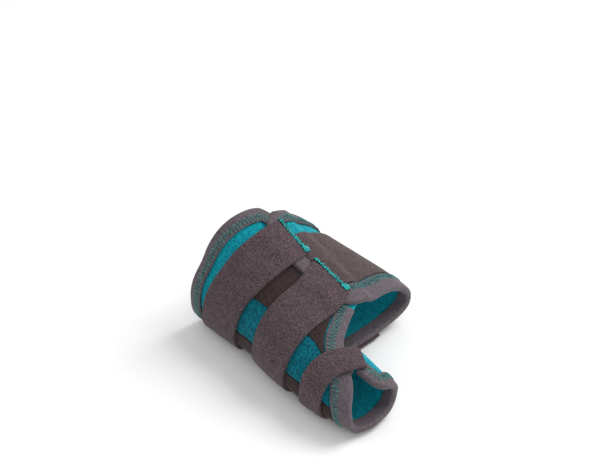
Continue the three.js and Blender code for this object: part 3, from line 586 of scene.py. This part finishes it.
def maths(tree, operation, *given):
    """What comes out of a maths node on the given sockets and numbers."""
    links = {k: value for k, value in enumerate(given) if isinstance(value, bpy.types.NodeSocket)}
    values = {k: value for k, value in enumerate(given) if k not in links}
    return add(tree, "ShaderNodeMath", links, values, operation=operation).outputs[0]


def scaled(tree, vector, by):
    return add(tree, "ShaderNodeVectorMath", {0: vector, "Scale": by}, operation="SCALE").outputs[0]


def noise(tree, place, grain, detail, roughness=0.5):
    """Noise whose coarsest grain is about that many millimetres across."""
    return add(tree, "ShaderNodeTexNoise", {"Vector": place},
               {"Scale": 1 / (grain * MM), "Detail": detail, "Roughness": roughness}).outputs[0]


def spread(tree, source, low, high, to_low=0.0, to_high=1.0):
    return add(tree, "ShaderNodeMapRange", {"Value": source},
               {"From Min": low, "From Max": high, "To Min": to_low, "To Max": to_high}).outputs[0]


def new_material(name):
    material = bpy.data.materials.new(name)
    material.use_nodes = True
    material.node_tree.nodes.clear()
    return material, material.node_tree


def finish_surface(tree, colour, height, roughness, bump, depth, sheen, tint="#ffffff"):
    normal = add(tree, "ShaderNodeBump", {"Height": height}, {"Strength": bump, "Distance": depth * MM})
    shader = add(tree, "ShaderNodeBsdfPrincipled", {"Base Color": colour, "Normal": normal.outputs[0]},
                 {"Roughness": roughness, "Sheen Weight": sheen, "Sheen Roughness": 0.4,
                  "Sheen Tint": linear(tint), "IOR": 1.5, "Specular IOR Level": 0.15})
    add(tree, "ShaderNodeOutputMaterial", {"Surface": shader.outputs[0]})


def ramp(tree, source, stops):
    made = add(tree, "ShaderNodeValToRGB", {0: source})
    elements = made.color_ramp.elements
    while len(elements) < len(stops):
        elements.new(0.5)
    for element, (at, colour) in zip(elements, stops):
        element.position, element.color = at, linear(colour)
    return made.outputs[0]


def loop_pile(name, dark, middle, light, grain):
    """Brushed nylon loop: a mottled, matt, fuzzy grain. The loops are drawn coarser than real ones, so
    that they show."""
    material, tree = new_material(name)
    place = add(tree, "ShaderNodeTexCoord").outputs["Object"]
    loops = noise(tree, place, grain, 3.0, 0.65)
    tufts = add(tree, "ShaderNodeTexVoronoi", {"Vector": place}, {"Scale": 1 / (0.9 * grain * MM)})
    broad = noise(tree, place, 9 * grain, 2.0)
    colour = ramp(tree, spread(tree, loops, 0.36, 0.64), ((0.0, dark), (0.5, middle), (1.0, light)))
    toned = scaled(tree, colour, spread(tree, broad, 0.3, 0.7, 0.9, 1.08))
    height = maths(tree, "ADD", tufts.outputs["Distance"], loops)
    finish_surface(tree, toned, height, 0.95, 0.35, 0.35, 0.12)
    return material


def elastic_cloth(name, dark, middle, light, fuzziness):
    """Knitted elastic jersey: a brushed grain with faint ribs, both drawn coarser than real ones so that
    they show, and a lit fuzz where it turns away."""
    material, tree = new_material(name)
    coords = add(tree, "ShaderNodeTexCoord")
    ribs = add(tree, "ShaderNodeTexWave", {"Vector": coords.outputs["UV"]},
               {"Scale": 0.314 / (0.9 * MM), "Distortion": 2.0, "Detail": 2.0}, bands_direction="Y")
    fuzz = noise(tree, coords.outputs["Object"], 1.3, 4.0, 0.75)
    mixed = maths(tree, "ADD", maths(tree, "MULTIPLY", ribs.outputs["Fac"], 0.15), fuzz)
    colour = ramp(tree, spread(tree, mixed, 0.4, 0.75), ((0.0, dark), (0.5, middle), (1.0, light)))
    finish_surface(tree, colour, mixed, 0.85, 0.25, 0.3, fuzziness, "#5fe2ea")
    return material


def grained(name, dark, light, grain, detail, low, high, *look):
    """An even face with a faint fine grain, drawn coarser than a real one so that it shows."""
    material, tree = new_material(name)
    grains = noise(tree, add(tree, "ShaderNodeTexCoord").outputs["Object"], grain, detail)
    colour = ramp(tree, spread(tree, grains, low, high), ((0.0, dark), (1.0, light)))
    finish_surface(tree, colour, grains, *look)
    return material


def laminate_and_shade(name, dark, light):
    """Foam-backed nylon: a nearly even dark face, also used for the painted shade beneath the bars."""
    return grained(name, dark, light, 1.0, 4.0, 0.35, 0.65, 0.85, 0.3, 0.3, 0.1)


def folded_tape(name, dark, light):
    """Soft folded nylon binding: smooth, with a slight sheen."""
    return grained(name, dark, light, 1.4, 3.0, 0.3, 0.7, 0.65, 0.15, 0.2, 0.15)


def sewing_thread(name, dark, light):
    """Twisted polyester thread: saturated, with a soft gloss along each strand."""
    material, tree = new_material(name)
    strand = noise(tree, add(tree, "ShaderNodeTexCoord").outputs["Object"], 1.5, 2.0)
    colour = ramp(tree, strand, ((0.35, dark), (0.65, light)))
    finish_surface(tree, colour, strand, 0.45, 0.2, 0.2, 0.2)
    return material


FINISHES = {
    # Knitted nylon and elastane, dyed teal, of the wrap and the sleeve.
    "teal_cloth": (elastic_cloth, "Teal elastic jersey", "#005564", "#008395", "#10aab6", 0.9),
    # The same jersey over the splint, in darker colours: painted shade on the channel, which lies on the big
    # toe side.
    "shaded_channel_cloth": (elastic_cloth, "Taut teal elastic jersey", "#002f3b", "#005766", "#007f90", 0.3),
    # Brushed nylon loop that hooks hold on to, on the straps.
    "loop_strap": (loop_pile, "Grey brushed loop", "#281e22", "#4c3f43", "#726266", 0.55),
    # Thinner brushed loop of the outer cover.
    "grey_cover": (loop_pile, "Grey brushed cover cloth", "#352a2b", "#4e4242", "#6a5b5c", 0.6),
    # Nylon laminated on foam, on the big toe side.
    "dark_cover": (laminate_and_shade, "Dark laminated nylon", "#261d1c", "#3e3130"),
    # Folded nylon tape of the edges.
    "binding_tape": (folded_tape, "Grey folded binding", "#4c454a", "#665d62"),
    # Fine thread of the zigzags on the tapes, with the tape seen between its strands.
    "fine_thread": (sewing_thread, "Fine teal thread", "#235a5a", "#569492"),
    # Near-black painted shade beneath the bars, as a flat strip where the stitches sink the pile.
    "painted_bar_shade": (laminate_and_shade, "Pressed dark pile", "#0d0b0c", "#171314"),
    # Thick thread of the bars that hold the straps.
    "bar_thread": (sewing_thread, "Thick teal thread", "#007076", "#22bcb6"),
}


def finish(name):
    """The named finish, made the first time it is asked for."""
    make, label, *choices = FINISHES[name]
    return bpy.data.materials.get(label) or make(label, *choices)


PATTERNS = {}


def current_pattern(context):
    """The pattern for the sizes in the panel."""
    sizes = context.scene.brace_sizes
    key = (sizes.foot_length, sizes.ball_width, sizes.instep_height, sizes.toe_width, sizes.toe_height)
    if key not in PATTERNS:
        PATTERNS[key] = Pattern(sizes)
    return PATTERNS[key]


# Stitches.
def zigzag_tree():
    """Geometry Nodes: thread that runs to and fro across a line of places."""
    tree = bpy.data.node_groups.new("Zigzag stitch", "GeometryNodeTree")
    face = tree.interface
    face.new_socket("Geometry", in_out="INPUT", socket_type="NodeSocketGeometry")
    for name, value in (("Leg", 0.0015), ("Width", 0.005), ("Thread Radius", 0.00022), ("Arch", 0.0002),
                        ("Jitter", 0.00015)):
        face.new_socket(name, in_out="INPUT", socket_type="NodeSocketFloat").default_value = value
    face.new_socket("Seed", in_out="INPUT", socket_type="NodeSocketInt").default_value = 3
    face.new_socket("Thread", in_out="INPUT", socket_type="NodeSocketMaterial")
    face.new_socket("Geometry", in_out="OUTPUT", socket_type="NodeSocketGeometry")
    given = add(tree, "NodeGroupInput").outputs
    steps = 6
    curve = add(tree, "GeometryNodeMeshToCurve", {"Mesh": given["Geometry"]})
    spacing = maths(tree, "DIVIDE", given["Leg"], steps)
    even = add(tree, "GeometryNodeResampleCurve", {"Curve": curve.outputs[0], "Length": spacing},
               mode="LENGTH")
    phase = maths(tree, "DIVIDE", add(tree, "GeometryNodeInputIndex").outputs[0], steps)
    swing = maths(tree, "SUBTRACT", maths(tree, "PINGPONG", phase, 1.0), 0.5)
    wide = maths(tree, "MULTIPLY", swing, given["Width"])
    turn = maths(tree, "MULTIPLY", maths(tree, "FRACT", phase), math.pi)
    arch = maths(tree, "MULTIPLY", maths(tree, "SINE", turn), given["Arch"])
    offset = add(tree, "FunctionNodeRandomValue", {"ID": maths(tree, "ROUND", phase), "Seed": given["Seed"]},
                 {0: (-1, -1, -1), 1: (1, 1, 1)}, data_type="FLOAT_VECTOR").outputs[0]
    across, up = (add(tree, "GeometryNodeInputNamedAttribute", values={"Name": name},
                      data_type="FLOAT_VECTOR").outputs[0] for name in ("across", "up"))
    sideways, raised = scaled(tree, across, wide), scaled(tree, up, arch)
    loose = scaled(tree, offset, given["Jitter"])
    both = add(tree, "ShaderNodeVectorMath", {0: sideways, 1: raised}, operation="ADD")
    moved = add(tree, "ShaderNodeVectorMath", {0: both.outputs[0], 1: loose}, operation="ADD")
    placed = add(tree, "GeometryNodeSetPosition", {"Geometry": even.outputs[0], "Offset": moved.outputs[0]})
    ring = add(tree, "GeometryNodeCurvePrimitiveCircle", {"Radius": given["Thread Radius"]},
               {"Resolution": 6})
    tube = add(tree, "GeometryNodeCurveToMesh",
               {"Curve": placed.outputs[0], "Profile Curve": ring.outputs[0]}, {"Fill Caps": True})
    whole = add(tree, "GeometryNodeRealizeInstances", {"Geometry": tube.outputs[0]})
    dyed = add(tree, "GeometryNodeSetMaterial", {"Geometry": whole.outputs[0], "Material": given["Thread"]})
    add(tree, "NodeGroupOutput", {"Geometry": dyed.outputs[0]})
    return tree


def sew(name, line, across, up, thread, values):
    """Sews one row of stitches along a line of places on the cloth."""
    tree = bpy.data.node_groups.get("Zigzag stitch") or zigzag_tree()
    mesh = bpy.data.meshes.new(name)
    places = to_frame(line)
    mesh.from_pydata(places.tolist(), [(k, k + 1) for k in range(len(places) - 1)], [])
    for label, vectors in (("across", across), ("up", up)):
        mesh.attributes.new(label, "FLOAT_VECTOR", "POINT").data.foreach_set(
            "vector", np.asarray(vectors, np.float32).ravel())
    row = bpy.data.objects.new(name, mesh)
    bpy.context.scene.collection.objects.link(row)
    sewn = row.modifiers.new("Sew", "NODES")
    sewn.node_group = tree
    sockets = {item.name: item.identifier for item in tree.interface.items_tree if item.in_out == "INPUT"}
    for label, value in {**values, "Thread": finish(thread)}.items():
        sewn[sockets[label]] = value
    bake_modifiers(row)
    row.data.shade_smooth()
    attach(row, "root")


def row_on(pattern, line, facing, inset, height, lift):
    """A line moved sideways over the form and raised to a height, with its two directions."""
    form = pattern.form
    across, _ = across_line(form, line, facing)
    moved = form.settle(line - across * np.broadcast_to(inset, len(line))[:, None], height + lift)
    across, up = across_line(form, moved, facing)
    return moved, across, up


# Sizes that a user would change.
def length_value(name, words, value):
    return bpy.props.FloatProperty(name=name, description=words, default=value, min=0.0, unit="LENGTH")


class BraceSizes(bpy.types.PropertyGroup):
    """Sizes of the foot that the brace is cut for, and of its stitches."""

    foot_length: length_value("Foot length", "Heel to toe tip of the foot", 0.240)
    ball_width: length_value("Ball width", "Width of the foot over the ball", 0.096)
    instep_height: length_value("Instep height", "Height that the sections' tops are shares of", 0.084)
    toe_width: length_value("Toe width", "Width of the big toe", 0.036)
    toe_height: length_value("Toe height", "Height of the big toe", 0.030)
    stitch_leg: length_value("Stitch leg", "Distance along the seam from one stitch to the next", 0.0012)
    stitch_width: length_value("Stitch width", "Width of the zigzag on the bindings", 0.0052)
    thread_radius: length_value("Thread radius", "Half of the sewing thread's thickness", 0.00022)


class StageSettings(bpy.types.PropertyGroup):
    """The studio round the brace."""

    floor_colour: bpy.props.FloatVectorProperty(
        name="Floor colour", description="Colour of the plain floor", subtype="COLOR", size=4,
        default=linear("#f6f6f6"), min=0.0, max=1.0)
    key_power: bpy.props.FloatProperty(
        name="Key light", description="Power of the main soft light", default=11.5, min=0.0, unit="POWER")
    fill_power: bpy.props.FloatProperty(
        name="Fill light", description="Power of the light beside the camera", default=2.2, min=0.0,
        unit="POWER")
    sky: bpy.props.FloatProperty(
        name="Sky", description="Strength of the even light from all round", default=0.6, min=0.0)


class BRACE_OT_wrap(bpy.types.Operator):
    """Make the elastic wrap round the instep and the ball"""

    bl_idname = "brace.wrap"
    bl_label = "Midfoot wrap"

    def execute(self, context):
        pattern = current_pattern(context)
        lift = pattern.wrap_lift
        grid_shell(pattern, pattern.wrap, "wrap_cloth", lift, lift + WRAP_WALL, "teal_cloth",
                   "midfoot_wrap")
        return {"FINISHED"}


class BRACE_OT_sleeve(bpy.types.Operator):
    """Make the sleeve round the big toe, with its flap"""

    bl_idname = "brace.sleeve"
    bl_label = "Toe sleeve"

    def execute(self, context):
        pattern = current_pattern(context)
        flat = 0 * pattern.sleeve.x
        grid_shell(pattern, pattern.sleeve, "sleeve_cloth", flat, flat + WRAP_WALL, "teal_cloth",
                   "toe_sleeve")
        return {"FINISHED"}


class BRACE_OT_covers(bpy.types.Operator):
    """Make the covers and the splint channel"""

    bl_idname = "brace.covers"
    bl_label = "Covers and channel"

    def execute(self, context):
        pattern = current_pattern(context)
        form, ball = pattern.form, pattern.form.ball
        outer_start = form.under_sole(COVER_SOLE_SIDE * ball + LAYER_GAP)
        outer_end = form.over_instep(lambda x: pattern.lap_side(x) + LAP_WIDTH + 2 * LAYER_GAP)
        upper = lambda x: np.maximum(follow(CHANNEL_UPPER, x / form.length), pattern.beside_rim(x))
        lower = lambda x: follow(CHANNEL_LOWER, x / form.length)
        lap_side = form.over_instep(lambda x: pattern.lap_side(x) - UPPER_COVER_OFF, True)
        sole_side = form.under_sole(COVER_SOLE_SIDE * ball, True)
        back = lambda t: COVER_AT + 0 * t
        mouth = lambda t: np.interp(t, *pattern.mouth_inner)
        lateral = Sheet(form, lambda t: COVER_AT + COVER_BOW * np.sin(np.radians(t)),
                        lambda t: np.minimum(np.interp(t, *pattern.front_inner), JOIN_AT - LAYER_GAP),
                        outer_start, lambda x: 360 + outer_end(x), False, WRAP_MIDDLE, 34, 1.7)
        top = Sheet(form, back, lambda t: UPPER_COVER_END + 0 * t,
                    lambda x: np.maximum(lap_side(x), pattern.beside_rim(x)),
                    lambda x: upper(x) - SEAM_TURN, True, MOUTH_AT, 56, 1.2)
        channel = Sheet(form, back, mouth, lambda x: upper(x) + SEAM_TURN, lambda x: lower(x) - SEAM_TURN,
                        True, MOUTH_AT, 70, 1.6)
        bottom = Sheet(form, back, mouth, lambda x: lower(x) + SEAM_TURN, sole_side, True, MOUTH_AT, 64, 1.8)
        rows = (
            (lateral, "lateral_cover_cloth", COVER_OUT + COVER_PROUD, "grey_cover", "grey_cover",
             "lateral_cover"),
            (top, "upper_medial_cover_cloth", COVER_OUT + COVER_PROUD, "dark_cover", "dark_cover",
             "medial_cover_upper"),
            # The channel's darker teal is painted shade.
            (channel, "splint_channel_cloth", COVER_OUT - CHANNEL_SUNK, "shaded_channel_cloth", "teal_cloth",
             "splint_channel"),
            (bottom, "lower_medial_cover_cloth", COVER_OUT + COVER_PROUD, "dark_cover", "dark_cover",
             "medial_cover_lower"),
        )
        for sheet, name, high, cloth, slot, node_name in rows:
            lift = pattern.lap_lift(sheet.x, sheet.turn) if sheet is lateral else 0 * sheet.x
            grid_shell(pattern, sheet, name, lift + WRAP_WALL + COVER_AIR, lift + high, cloth,
                       node_name, 0.4)
        return {"FINISHED"}


class BRACE_OT_bindings(bpy.types.Operator):
    """Make the tapes that are folded round the edges"""

    bl_idname = "brace.bindings"
    bl_label = "Bindings"

    def execute(self, context):
        pattern = current_pattern(context)
        rows = (
            ("hem_tape", pattern.hem, HEM_WIDTH, -1, pattern.hem_lift, "hem_binding"),
            ("front_tape", pattern.front, FRONT_WIDTH, 1, pattern.front_lift, "front_binding"),
            ("lap_tape", pattern.lap, LAP_WIDTH, -1, LAP_LIFT + LAP_TAPE_RISE + 0 * pattern.lap[:, 0],
             "lap_binding"),
            ("sleeve_tape", pattern.sleeve_line, pattern.sleeve_width, 1, 0 * pattern.sleeve_width,
             "sleeve_binding"),
        )
        for name, line, width, facing, lift, node_name in rows:
            if np.ndim(width) == 0:
                fine = even_line(line, TAPE_SPACING)
                lift = np.interp(lengths(fine), lengths(line), lift)
                line = fine
            ran = lengths(line)
            profile = tape_profile(ran, width, 4 * context.scene.brace_sizes.stitch_leg / MM, PUCKER_DEPTH)
            ribbon(pattern, line, profile, across_line(pattern.form, line, facing)[0], lift, name,
                   finish("binding_tape"), [node_name])
        return {"FINISHED"}


def strap_line(pattern, at, slant, route):
    """Places along a strap's middle, and how far it is lifted by the lap beneath."""
    form = pattern.form
    first = float(form.over_instep(SEAM_SIDE)(at))
    turns = np.linspace(first, route[-1][0], ROUTE_STEPS)
    x = at + slant * follow(route, turns)
    edge = pattern.lap_over(x) - 360
    lift = LAP_LIFT * (1 - ease(edge + LAP_LEVEL, edge + LAP_RAMP, turns))
    places = form.spot(x, turns)
    fine = even_line(places, STRAP_SPACING)
    return fine, np.interp(lengths(fine), lengths(places), lift)


def strap_across(form, line):
    """Directions across a strap whose sewn end lies along the foot, as the lap does."""
    across, out = across_line(form, line, 1)
    along_foot = np.array([1.0, 0.0, 0.0]) * np.sign(across[:, :1])
    near_end = 1 - ease(0, SEWN_END, lengths(line))[:, None]
    leaning = mix(across, along_foot, near_end * SEWN_LEAN)
    return unit(leaning - out * (leaning * out).sum(1, keepdims=True))


class BRACE_OT_straps(bpy.types.Operator):
    """Make the three straps"""

    bl_idname = "brace.straps"
    bl_label = "Straps"

    def execute(self, context):
        pattern = current_pattern(context)
        turns = np.linspace(TOE_STRAP_ROUTE[0][0], TOE_STRAP_ROUTE[-1][0], TOE_ROUTE_STEPS)
        toe_x = TOE_STRAP_AT + TOE_STRAP_SLANT * follow(TOE_STRAP_ROUTE, turns)
        toe_line = even_line(pattern.form.spot(toe_x, turns, True), TOE_STRAP_SPACING)
        rows = (
            ("heel_side_loop_strap", strap_line(pattern, STRAP_HEEL_AT, STRAP_HEEL_SLANT, STRAP_HEEL_ROUTE),
             STRAP_WIDTH, "heel_side_strap"),
            ("ball_loop_strap", strap_line(pattern, STRAP_BALL_AT, STRAP_BALL_SLANT, STRAP_BALL_ROUTE),
             STRAP_WIDTH, "ball_strap"),
            ("toe_loop_strap", (toe_line, 0 * toe_line[:, 0]), TOE_STRAP_WIDTH, "toe_strap"),
        )
        for phase, (name, (line, lift), width, node_name) in enumerate(rows):
            ran = lengths(line)
            curl = (TOE_STRAP_CURL if node_name == "toe_strap" else 0) * (1 - ease(0.35, 0.6, ran / ran[-1]))
            profile = strap_profile(ran, width, 1.3 * phase, curl)
            across = across_line(pattern.form, line, 1)[0]
            if node_name != "toe_strap":
                across = strap_across(pattern.form, line)
            piece, outer = ribbon(pattern, line, profile, across, lift, name, finish("loop_strap"),
                                  [node_name], 0.5)
        return {"FINISHED"}


class BRACE_OT_stitches(bpy.types.Operator):
    """Sew the hem, front and sleeve tapes, and the straps' ends"""

    bl_idname = "brace.stitches"
    bl_label = "Stitches"

    def execute(self, context):
        pattern = current_pattern(context)
        sizes = context.scene.brace_sizes
        common = {"Leg": sizes.stitch_leg, "Width": sizes.stitch_width, "Thread Radius": sizes.thread_radius}
        top = COVER_OUT + ZIGZAG_RISE
        rows = (
            ("hem_zigzag", pattern.hem, -1, HEM_WIDTH - ZIGZAG_INSET, pattern.hem_lift),
            ("front_zigzag", pattern.front, 1, FRONT_WIDTH - ZIGZAG_INSET, pattern.front_lift),
            ("sleeve_zigzag", pattern.sleeve_line, 1, pattern.sleeve_width - SLEEVE_ZIGZAG_INSET,
             0 * pattern.sleeve_width),
        )
        for name, line, facing, inset, lift in rows:
            sew(name, *row_on(pattern, line, facing, inset, top, lift), "fine_thread", common)
        for name, at, slant, route in (
            ("heel_side_strap", STRAP_HEEL_AT, STRAP_HEEL_SLANT, STRAP_HEEL_ROUTE),
            ("ball_strap", STRAP_BALL_AT, STRAP_BALL_SLANT, STRAP_BALL_ROUTE),
        ):
            line = strap_line(pattern, at, slant, route)[0]
            across = strap_across(pattern.form, line)
            reach = np.linspace(-STRAP_WIDTH / 2 + 0.5, STRAP_WIDTH / 2 - 0.5, 50)
            end = line[2] + across[2] * reach[:, None]
            end = end[np.argsort(end[:, 0])]
            for part, thread, count, height, values in (
                ("bar", "bar_thread", 50, 0.15, {"Leg": 0.0009, "Width": 0.0026, "Thread Radius": 0.00038,
                                                 "Jitter": 0.00025, "Seed": 5}),
                ("tack", "bar_thread", 8, 0.35, {"Leg": 0.0005, "Width": 0.0038, "Thread Radius": 0.00045,
                                                 "Jitter": 0.0002, "Seed": 7}),
                # The dark strip under each bar is painted shade where the stitches sink the pile.
                ("shade_strip", "painted_bar_shade", 50, -0.3, {"Leg": 0.0006, "Width": 0.0034,
                                                       "Thread Radius": 0.0005, "Jitter": 0.0001, "Seed": 6}),
            ):
                row = end[-count:]
                row = pattern.form.settle(row, STRAP_OUT + LAP_LIFT + height + 0 * row[:, 0])
                sew(name + "_" + part, row, *across_line(pattern.form, row, 1), thread, values)
        return {"FINISHED"}


class BRACE_OT_stage(bpy.types.Operator):
    """Set the pale floor, the soft lights and the camera"""

    bl_idname = "brace.stage"
    bl_label = "Stage"

    def execute(self, context):
        scene = context.scene
        stage = scene.brace_stage
        mesh = bpy.data.meshes.new("floor")
        corners = [(FLOOR_HALF * x, FLOOR_HALF * y, 0) for x, y in ((-1, -1), (1, -1), (1, 1), (-1, 1))]
        mesh.from_pydata(corners, [], [(0, 1, 2, 3)])
        material, tree = new_material("Pale studio floor")
        shader = add(tree, "ShaderNodeBsdfPrincipled", values={"Base Color": tuple(stage.floor_colour),
                                                               "Roughness": 0.9, "Specular IOR Level": 0.1})
        add(tree, "ShaderNodeOutputMaterial", {"Surface": shader.outputs[0]})
        mesh.materials.append(material)
        floor = bpy.data.objects.new("floor", mesh)
        scene.collection.objects.link(floor)

        world = bpy.data.worlds.new("Studio")
        world.use_nodes = True
        world.node_tree.nodes["Background"].inputs["Color"].default_value = linear("#ffffff")
        world.node_tree.nodes["Background"].inputs["Strength"].default_value = stage.sky
        scene.world = world

        # The camera stands where the photograph's is reckoned to have stood.
        azimuth, elevation = math.radians(CAMERA_ROUND), math.radians(CAMERA_UP)
        target = to_frame(CAMERA_TARGET)
        back = np.array([math.sin(azimuth) * math.cos(elevation), -math.cos(azimuth) * math.cos(elevation),
                         math.sin(elevation)])
        camera = bpy.data.objects.new("camera", bpy.data.cameras.new("camera"))
        camera.data.sensor_width, camera.data.lens = 36.0, CAMERA_LENS
        camera.data.clip_start, camera.data.clip_end = 0.05, 20.0
        aim(camera, target + back * CAMERA_AWAY, target)
        scene.collection.objects.link(camera)
        scene.camera = camera

        for name, place, power in (
            ("key", (0.25, 0.77, 0.95), stage.key_power),
            ("fill", (0.75, -0.53, 0.55), stage.fill_power),
            ("heel_fill", (-0.8, -0.48, 0.7), stage.fill_power * HEEL_FILL_SHARE),
        ):
            light = bpy.data.objects.new(name, bpy.data.lights.new(name, "AREA"))
            light.data.energy, light.data.size = power, LIGHT_SIZE
            aim(light, np.array(place), np.array(LIGHT_TARGET))
            scene.collection.objects.link(light)
        scene.view_settings.view_transform = "Standard"
        return {"FINISHED"}


def aim(thing, place, target):
    """Places a camera or lamp and turns it towards a target."""
    thing.location = Vector(place)
    thing.rotation_mode = "QUATERNION"
    thing.rotation_quaternion = Vector(target - place).to_track_quat("-Z", "Y")


PIECE_OPERATORS = (BRACE_OT_wrap, BRACE_OT_sleeve, BRACE_OT_covers, BRACE_OT_bindings, BRACE_OT_straps,
                   BRACE_OT_stitches, BRACE_OT_stage)


class BRACE_PT_panel(bpy.types.Panel):
    """Sizes of the brace and a button for each group of pieces"""

    bl_idname = "BRACE_PT_panel"
    bl_label = "Bunion corrector"
    bl_space_type = "VIEW_3D"
    bl_region_type = "UI"
    bl_category = "Brace"

    def draw(self, context):
        for group in (context.scene.brace_sizes, context.scene.brace_stage):
            for name in group.__annotations__:
                self.layout.prop(group, name)
        for operator in PIECE_OPERATORS:
            self.layout.operator(operator.bl_idname)


CLASSES = (BraceSizes, StageSettings, *PIECE_OPERATORS, BRACE_PT_panel)


def register():
    for kind in CLASSES:
        bpy.utils.register_class(kind)
    bpy.types.Scene.brace_sizes = bpy.props.PointerProperty(type=BraceSizes)
    bpy.types.Scene.brace_stage = bpy.props.PointerProperty(type=StageSettings)


def unregister():
    del bpy.types.Scene.brace_stage
    del bpy.types.Scene.brace_sizes
    for kind in reversed(CLASSES):
        bpy.utils.unregister_class(kind)


def main():
    register()
    for operator in PIECE_OPERATORS:
        group, name = operator.bl_idname.split(".")
        getattr(getattr(bpy.ops, group), name)()


if __name__ == "__main__":
    main()
